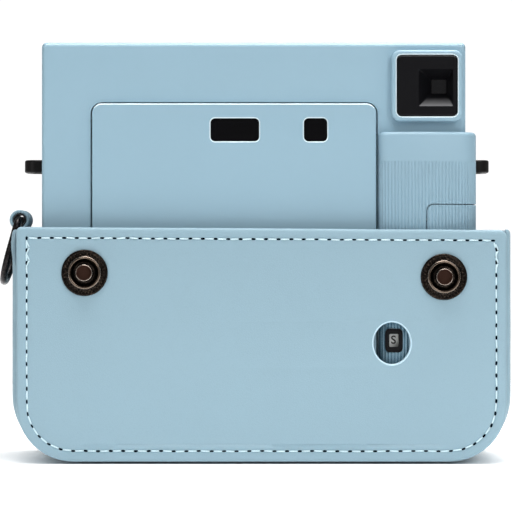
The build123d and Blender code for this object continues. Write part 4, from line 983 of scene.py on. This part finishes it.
# Smooth lengths of the plan before its first rib and after its last one
SMOOTH_START, SMOOTH_END = 1.4, 6.5
TOP_ROUND = 1.2
GRIP_CROWN = 47.5
GRIP_LEFT_CORNER, GRIP_RIGHT_CORNER = (GRIP_LEFT, -21.05), (GRIP_RIGHT, -19.35)
LEFT_ROUND, RIGHT_ROUND = 2.4, 4.8
# Depths on the grip's right side: a point that holds it straight, its front end, and where it
# meets the body's side
SIDE_HOLD, SIDE_END, SIDE_FOOT = -10.0, -2.3, 1.0


def arc_through(a, b, c, steps):
    """Points on the circle through three points, from a to c."""
    ax, ay, bx, by, cx, cy = *a, *b, *c
    d = 2 * (ax * (by - cy) + bx * (cy - ay) + cx * (ay - by))
    aa, bb, cc = ax * ax + ay * ay, bx * bx + by * by, cx * cx + cy * cy
    ux = (aa * (by - cy) + bb * (cy - ay) + cc * (ay - by)) / d
    uy = (aa * (cx - bx) + bb * (ax - cx) + cc * (bx - ax)) / d
    radius = math.hypot(ax - ux, ay - uy)
    start, stop = math.atan2(ay - uy, ax - ux), math.atan2(cy - uy, cx - ux)
    return [(ux + radius * math.cos(start + (stop - start) * k / steps),
             uy + radius * math.sin(start + (stop - start) * k / steps)) for k in range(steps + 1)]


def round_corner(points, corner_index, radius, steps=12):
    """Replaces a polyline's corner with a smooth curve that starts and ends a radius away from it."""
    corner = Vector(points[corner_index])
    i = corner_index
    while (Vector(points[i]) - corner).length < radius and i > 0:
        i -= 1
    j = corner_index
    while (Vector(points[j]) - corner).length < radius and j < len(points) - 1:
        j += 1
    before, after = Vector(points[i]), Vector(points[j])
    start = corner + (before - corner).normalized() * radius
    stop = corner + (after - corner).normalized() * radius
    parts = [k / steps for k in range(steps + 1)]
    blend = [start.lerp(corner, t).lerp(corner.lerp(stop, t), t) for t in parts]
    kept = i + 1 if (before - corner).length > radius else i
    return points[:kept] + [tuple(p) for p in blend] + points[j:]


def grip_curve():
    """The grip's outer plan from its left foot on the body to its front end, as (x, y)."""
    foot = [(GRIP_LEFT, BODY_BACK), (GRIP_LEFT, -20.0)]
    line = foot + arc_through(GRIP_LEFT_CORNER, (GRIP_CROWN, grip_low[1]), GRIP_RIGHT_CORNER, 80)
    line = round_corner(line, len(foot), LEFT_ROUND)
    right_corner = len(line) - 1
    line += [(GRIP_RIGHT, SIDE_HOLD), (GRIP_RIGHT, SIDE_END), (BODY_RIGHT, SIDE_FOOT)]
    return round_corner(line, right_corner, RIGHT_ROUND, 16)


def resample(points, step):
    """Evenly spaced points and outward normals along an open plan curve."""
    spots = walk(points, step, closed=False)
    normals = []
    for k in range(len(spots)):
        run = spots[min(k + 1, len(spots) - 1)] - spots[max(k - 1, 0)]
        normals.append(Vector((run.y, -run.x)).normalized())
    return spots, normals


def rib_depth(distance, length):
    """Depth of the ribbing at a distance along the plan: rounded ribs with narrow valleys."""
    if distance < SMOOTH_START or distance > length - SMOOTH_END:
        return 0.0
    phase = (distance / RIB_PITCH) % 1.0
    return RIB_DEPTH * (0.5 + 0.5 * math.cos(math.tau * phase)) ** RIB_POWER


STEPS_PER_RIB = 8
spots, normals = resample(grip_curve(), RIB_PITCH / STEPS_PER_RIB)
plan_length = sum((b - a).length for a, b in zip(spots, spots[1:]))


def grip_loop(z, inset, rib):
    """Closed loop of the grip at one height: the ribbed outer curve, then back along the body."""
    loop = []
    for k, (spot, normal) in enumerate(zip(spots, normals)):
        depth = inset + rib * rib_depth(k * plan_length / (len(spots) - 1), plan_length)
        edge = spot - normal * depth
        loop.append((edge.x, edge.y, z))
    loop[0] = (loop[0][0], BODY_BACK + 0.1, z)
    loop[-1] = (BODY_RIGHT - 0.1, loop[-1][1], z)
    return loop + [(BODY_RIGHT - 0.1, BODY_BACK + 0.1, z)]


def ribbed_solid(name, loops, body, node):
    """A piece over level loops, closed at both ends, that replaces a node."""
    made = Builder()
    starts = made.skin(loops)
    for start, flip in ((starts[0], False), (starts[-1], True)):
        flat = [[Vector((x, y, 0)) for x, y, _ in made.points[start:start + len(loops[0])]]]
        triangles = [tuple(start + i for i in t) for t in tessellate_polygon(flat)]
        made.add([t[::-1] if flip else t for t in triangles])
    piece = made.piece(name, [RIB], body, "body_plastic")
    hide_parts(node)
    return piece


def grip_column():
    """Solid grip with ribs below a smooth band and a rounded top edge."""
    rows = [(grip_low[2], 0.4, 0.6), (grip_low[2] + 0.5, 0.0, 1.0)]
    ribs_low, ribs_high = grip_low[2] + 1, RIB_TOP - 0.35
    rows += [(ribs_low + k * (ribs_high - ribs_low) / 8, 0.0, 1.0) for k in range(9)]
    rows += [(RIB_TOP + rise, 0.0, 0.0) for rise in (0.0, 0.2, 0.5)]
    for k in range(7):
        angle = math.radians(90 * k / 6)
        rows.append((GRIP_TOP - TOP_ROUND * (1 - math.sin(angle)), TOP_ROUND * (1 - math.cos(angle)), 0.0))
    return ribbed_solid("grip_ribbed", [grip_loop(*row) for row in rows], "camera", "grip_shell")


def cover_wall():
    """Ribbed wall of the battery cover before its outline is cut."""
    wall = 1.7
    loops = []
    for z in (cover_low[2] - 2, cover_high[2] + 2):
        outer = grip_loop(z, 0.0, 1.0)[:-1]
        inner = [(s.x - n.x * wall, s.y - n.y * wall, z) for s, n in zip(spots, normals)]
        loops.append(outer + inner[::-1])
    return ribbed_solid("battery_cover_ribbed", loops, "battery_cover", "battery_cover")


COVER_GAP = 0.28
# Room below the cover for its slide
COVER_TRAVEL = 3.6
COVER_CORNER = 1.9
COUNTER_X, COUNTER_Z = 39.5, 36.4
WINDOW_HALF_WIDTH, WINDOW_HALF_HEIGHT, WINDOW_CORNER = 2.65, 3.6, 1.3
DIAL_CENTRE = Vector((46.0, 36.4))
dial_low, dial_high = node_box("counter_dial")
DIAL_ROOM = (dial_high[0] - dial_low[0]) / 2 + 0.35
# Beyond the grip, for cutters that go right through it
FAR_BACK, FAR_RIGHT = -40, 80


def box_corners(left, right, bottom, top, radius, right_radius=0.4):
    """Corners of a rounded box, with another radius on the right where it runs out of the grip."""
    return [(left, top, radius), (right, top, right_radius), (right, bottom, right_radius),
            (left, bottom, radius)]


def middle_corners(x, z, half_width, half_height, radius):
    """Corners of a rounded box round its middle."""
    return box_corners(x - half_width, x + half_width, z - half_height, z + half_height, radius, radius)


counter_opening = prism(middle_corners(COUNTER_X, COUNTER_Z, WINDOW_HALF_WIDTH, WINDOW_HALF_HEIGHT,
                                       WINDOW_CORNER), (FAR_BACK, BODY_BACK - 0.1))
cover_opening = prism(box_corners(cover_low[0] - COVER_GAP, FAR_RIGHT,
                                  cover_low[2] - COVER_GAP - COVER_TRAVEL, cover_high[2] + COVER_GAP,
                                  COVER_CORNER + COVER_GAP), (FAR_BACK, cover_high[1] + COVER_GAP))
dial_pocket = prism(middle_corners(*DIAL_CENTRE, DIAL_ROOM, DIAL_ROOM, DIAL_ROOM - 0.02),
                    (dial_low[1] - 0.3, BODY_BACK + 1))
grip = grip_column()
for opening in (counter_opening, cover_opening, dial_pocket):
    boolean(grip, opening, "DIFFERENCE")
cover = cover_wall()
boolean(cover, prism(box_corners(cover_low[0], FAR_RIGHT, cover_low[2], cover_high[2], COVER_CORNER),
                     (FAR_BACK, cover_high[1])), "INTERSECT")
for piece in (grip, cover):
    piece.data.polygons.foreach_set("use_smooth", [True] * len(piece.data.polygons))
    sharp = piece.modifiers.new("sharp", "EDGE_SPLIT")
    sharp.split_angle = math.radians(50)


# ---------------- counter dial

DIAL_RING = DIAL_CENTRE.x - COUNTER_X
MARKS = ["S"] + [str(n) for n in range(10, 0, -1)]
MARK_STEP = math.radians(30)


def dial_marks():
    """The counter's start mark and its numbers, printed round the dial from the window onward."""
    for k, mark in enumerate(MARKS):
        curve = bpy.data.curves.new("mark", "FONT")
        curve.body = mark
        curve.size = 3.4 * MM if len(mark) == 1 else 2.4 * MM
        curve.align_x, curve.align_y = "CENTER", "CENTER"
        curve.extrude = 0.02 * MM
        curve.offset = 0.06 * MM
        maker = placed("mark", curve)
        bpy.context.view_layer.update()
        mesh = bpy.data.meshes.new_from_object(maker.evaluated_get(bpy.context.evaluated_depsgraph_get()))
        bpy.data.objects.remove(maker)
        turn = Matrix.Rotation(MARK_STEP * k, 2)
        points = []
        for vertex in mesh.vertices:
            spot = DIAL_CENTRE + turn @ (vertex.co.xy / MM - Vector((DIAL_RING, 0)))
            points.append((spot.x, dial_low[1] - 0.02 - vertex.co.z / MM, spot.y))
        faces = [tuple(p.vertices) for p in mesh.polygons]
        mesh_piece("dial_mark_%d" % k, points, faces, [INK], "counter_dial", smooth=False)


dial_marks()


# ---------------- foam pad under the camera

pad_low, pad_high = node_box("case_pad")


def foam_pad():
    """Thin cloth-covered pad, crowned and pulled in along two sewn channels."""
    cells_x, cells_y = 96, 36
    channel_place, channel_width = 0.36, 0.05
    made = Builder()
    top, bottom = [], []
    for j in range(cells_y + 1):
        for i in range(cells_x + 1):
            u, v = 2 * i / cells_x - 1, 2 * j / cells_y - 1
            edge = min(1.0, (1 - abs(u) ** 10) * (1 - abs(v) ** 8)) ** 0.4
            channel = min(1.0, abs(abs(u) - channel_place) / channel_width) ** 0.6
            squeeze = 1 - 0.012 * (1 - abs(v)) * abs(u)
            x = (pad_low[0] + pad_high[0]) / 2 + u * squeeze * (pad_high[0] - pad_low[0]) / 2
            y = (pad_low[1] + pad_high[1]) / 2 + v * (pad_high[1] - pad_low[1]) / 2
            rise = (pad_high[2] - pad_low[2]) * (0.35 + 0.63 * edge * (0.55 + 0.45 * channel))
            top.append((x, y, pad_low[2] + rise - 0.03))
            bottom.append((x, y, pad_low[2]))
    width = cells_x + 1
    first, second = made.loop(top), made.loop(bottom)
    for j in range(cells_y):
        for i in range(cells_x):
            a = j * width + i
            made.add([(first + a, first + a + 1, first + a + width + 1, first + a + width),
                      (second + a, second + a + width, second + a + width + 1, second + a + 1)])
    rim = list(range(width)) + [j * width + cells_x for j in range(1, cells_y + 1)]
    rim += [cells_y * width + i for i in range(cells_x - 1, -1, -1)]
    rim += [j * width for j in range(cells_y - 1, 0, -1)]
    made.add([(first + a, second + a, second + b, first + b) for a, b in zip(rim, rim[1:] + rim[:1])])
    piece = made.piece("case_pad_cloth", [LINING], "case", "case_lining")
    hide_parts("case_pad")


foam_pad()


# ---------------- floor, lights and camera

# Metres from here on
FLOOR_HALF, FLOOR_DROP = 6.0, 0.0002
FADE_START, FADE_END = 0.22, 0.50
FLOOR_SHADE, FLOOR_GLOW = 0.006, 0.30
LOOK_AT = (0, 0, 0.06)
AMBIENT, BACKDROP = 0.30, 1.05
EYE = (-0.00165, -0.72575, 0.0616)
LENS, SENSOR = 165.9, 36


def area_light(name, place, target, size, watts):
    light = bpy.data.lights.new(name, "AREA")
    light.shape = "RECTANGLE"
    light.size, light.size_y = size
    light.energy = watts
    lamp = placed(name, light)
    lamp.location = place
    lamp.rotation_euler = (Vector(target) - Vector(place)).to_track_quat("-Z", "Y").to_euler()


def floor():
    """White paper that fades into the backdrop and glows a little away from the object: the glow is
    painted light that lifts the floor's shadow, and the contact line stays dark.
    """
    mesh = bpy.data.meshes.new("floor")
    corners = [(FLOOR_HALF * x, FLOOR_HALF * y, 0) for x, y in ((-1, -1), (1, -1), (1, 1), (-1, 1))]
    mesh.from_pydata(corners, [], [(0, 1, 2, 3)])
    made = Shader("floor_paper", (0.90, 0.90, 0.90), 0.6)
    made.rough(made.noise(0.02), 0.55, 0.65)
    made.bsdf.inputs["Emission Color"].default_value = (1, 1, 1, 1)
    # Painted light: the floor glows where nothing covers it, and not at the contact
    glow = made.ramp(made.openness(FLOOR_SHADE / MM, local=False), 0.10, 0.80, 0.0, FLOOR_GLOW)
    made.link(glow, made.bsdf.inputs["Emission Strength"])
    distance = made.node("VectorMath", Vector=made.coordinates)
    distance.operation = "LENGTH"
    fade = made.ramp(distance.outputs["Value"], FADE_START, FADE_END, 1.0, 0.0)
    made.link(fade, made.bsdf.inputs["Alpha"])
    mesh.materials.append(made.material)
    plane = placed("floor", mesh)
    plane.location.z = -FLOOR_DROP


floor()
area_light("top_softbox", (0.05, -0.04, 0.75), (0, 0, 0.05), (0.7, 0.40), 9.5)
area_light("front_softbox", (0.60, -1.25, 0.75), LOOK_AT, (0.6, 0.6), 7.0)
area_light("front_fill", (-1.0, -1.1, 0.30), LOOK_AT, (0.6, 0.8), 1.6)

world = bpy.data.worlds.new("studio")
world.use_nodes = True
backdrop = world.node_tree.nodes["Background"]
backdrop.inputs["Color"].default_value = (1, 1, 1, 1)
seen = world.node_tree.nodes.new("ShaderNodeLightPath").outputs["Is Camera Ray"]
white = world.node_tree.nodes.new("ShaderNodeMapRange")
white.inputs["To Min"].default_value = AMBIENT
white.inputs["To Max"].default_value = BACKDROP
world.node_tree.links.new(seen, white.inputs["Value"])
world.node_tree.links.new(white.outputs["Result"], backdrop.inputs["Strength"])
bpy.context.scene.world = world
bpy.context.scene.view_settings.view_transform = "Standard"

camera_data = bpy.data.cameras.new("camera")
camera_data.lens = LENS
camera_data.sensor_width = SENSOR
camera_data.clip_start = 0.01
camera = placed("camera", camera_data)
camera.location = EYE
camera.rotation_euler = (math.radians(90), 0, 0)
bpy.context.scene.camera = camera
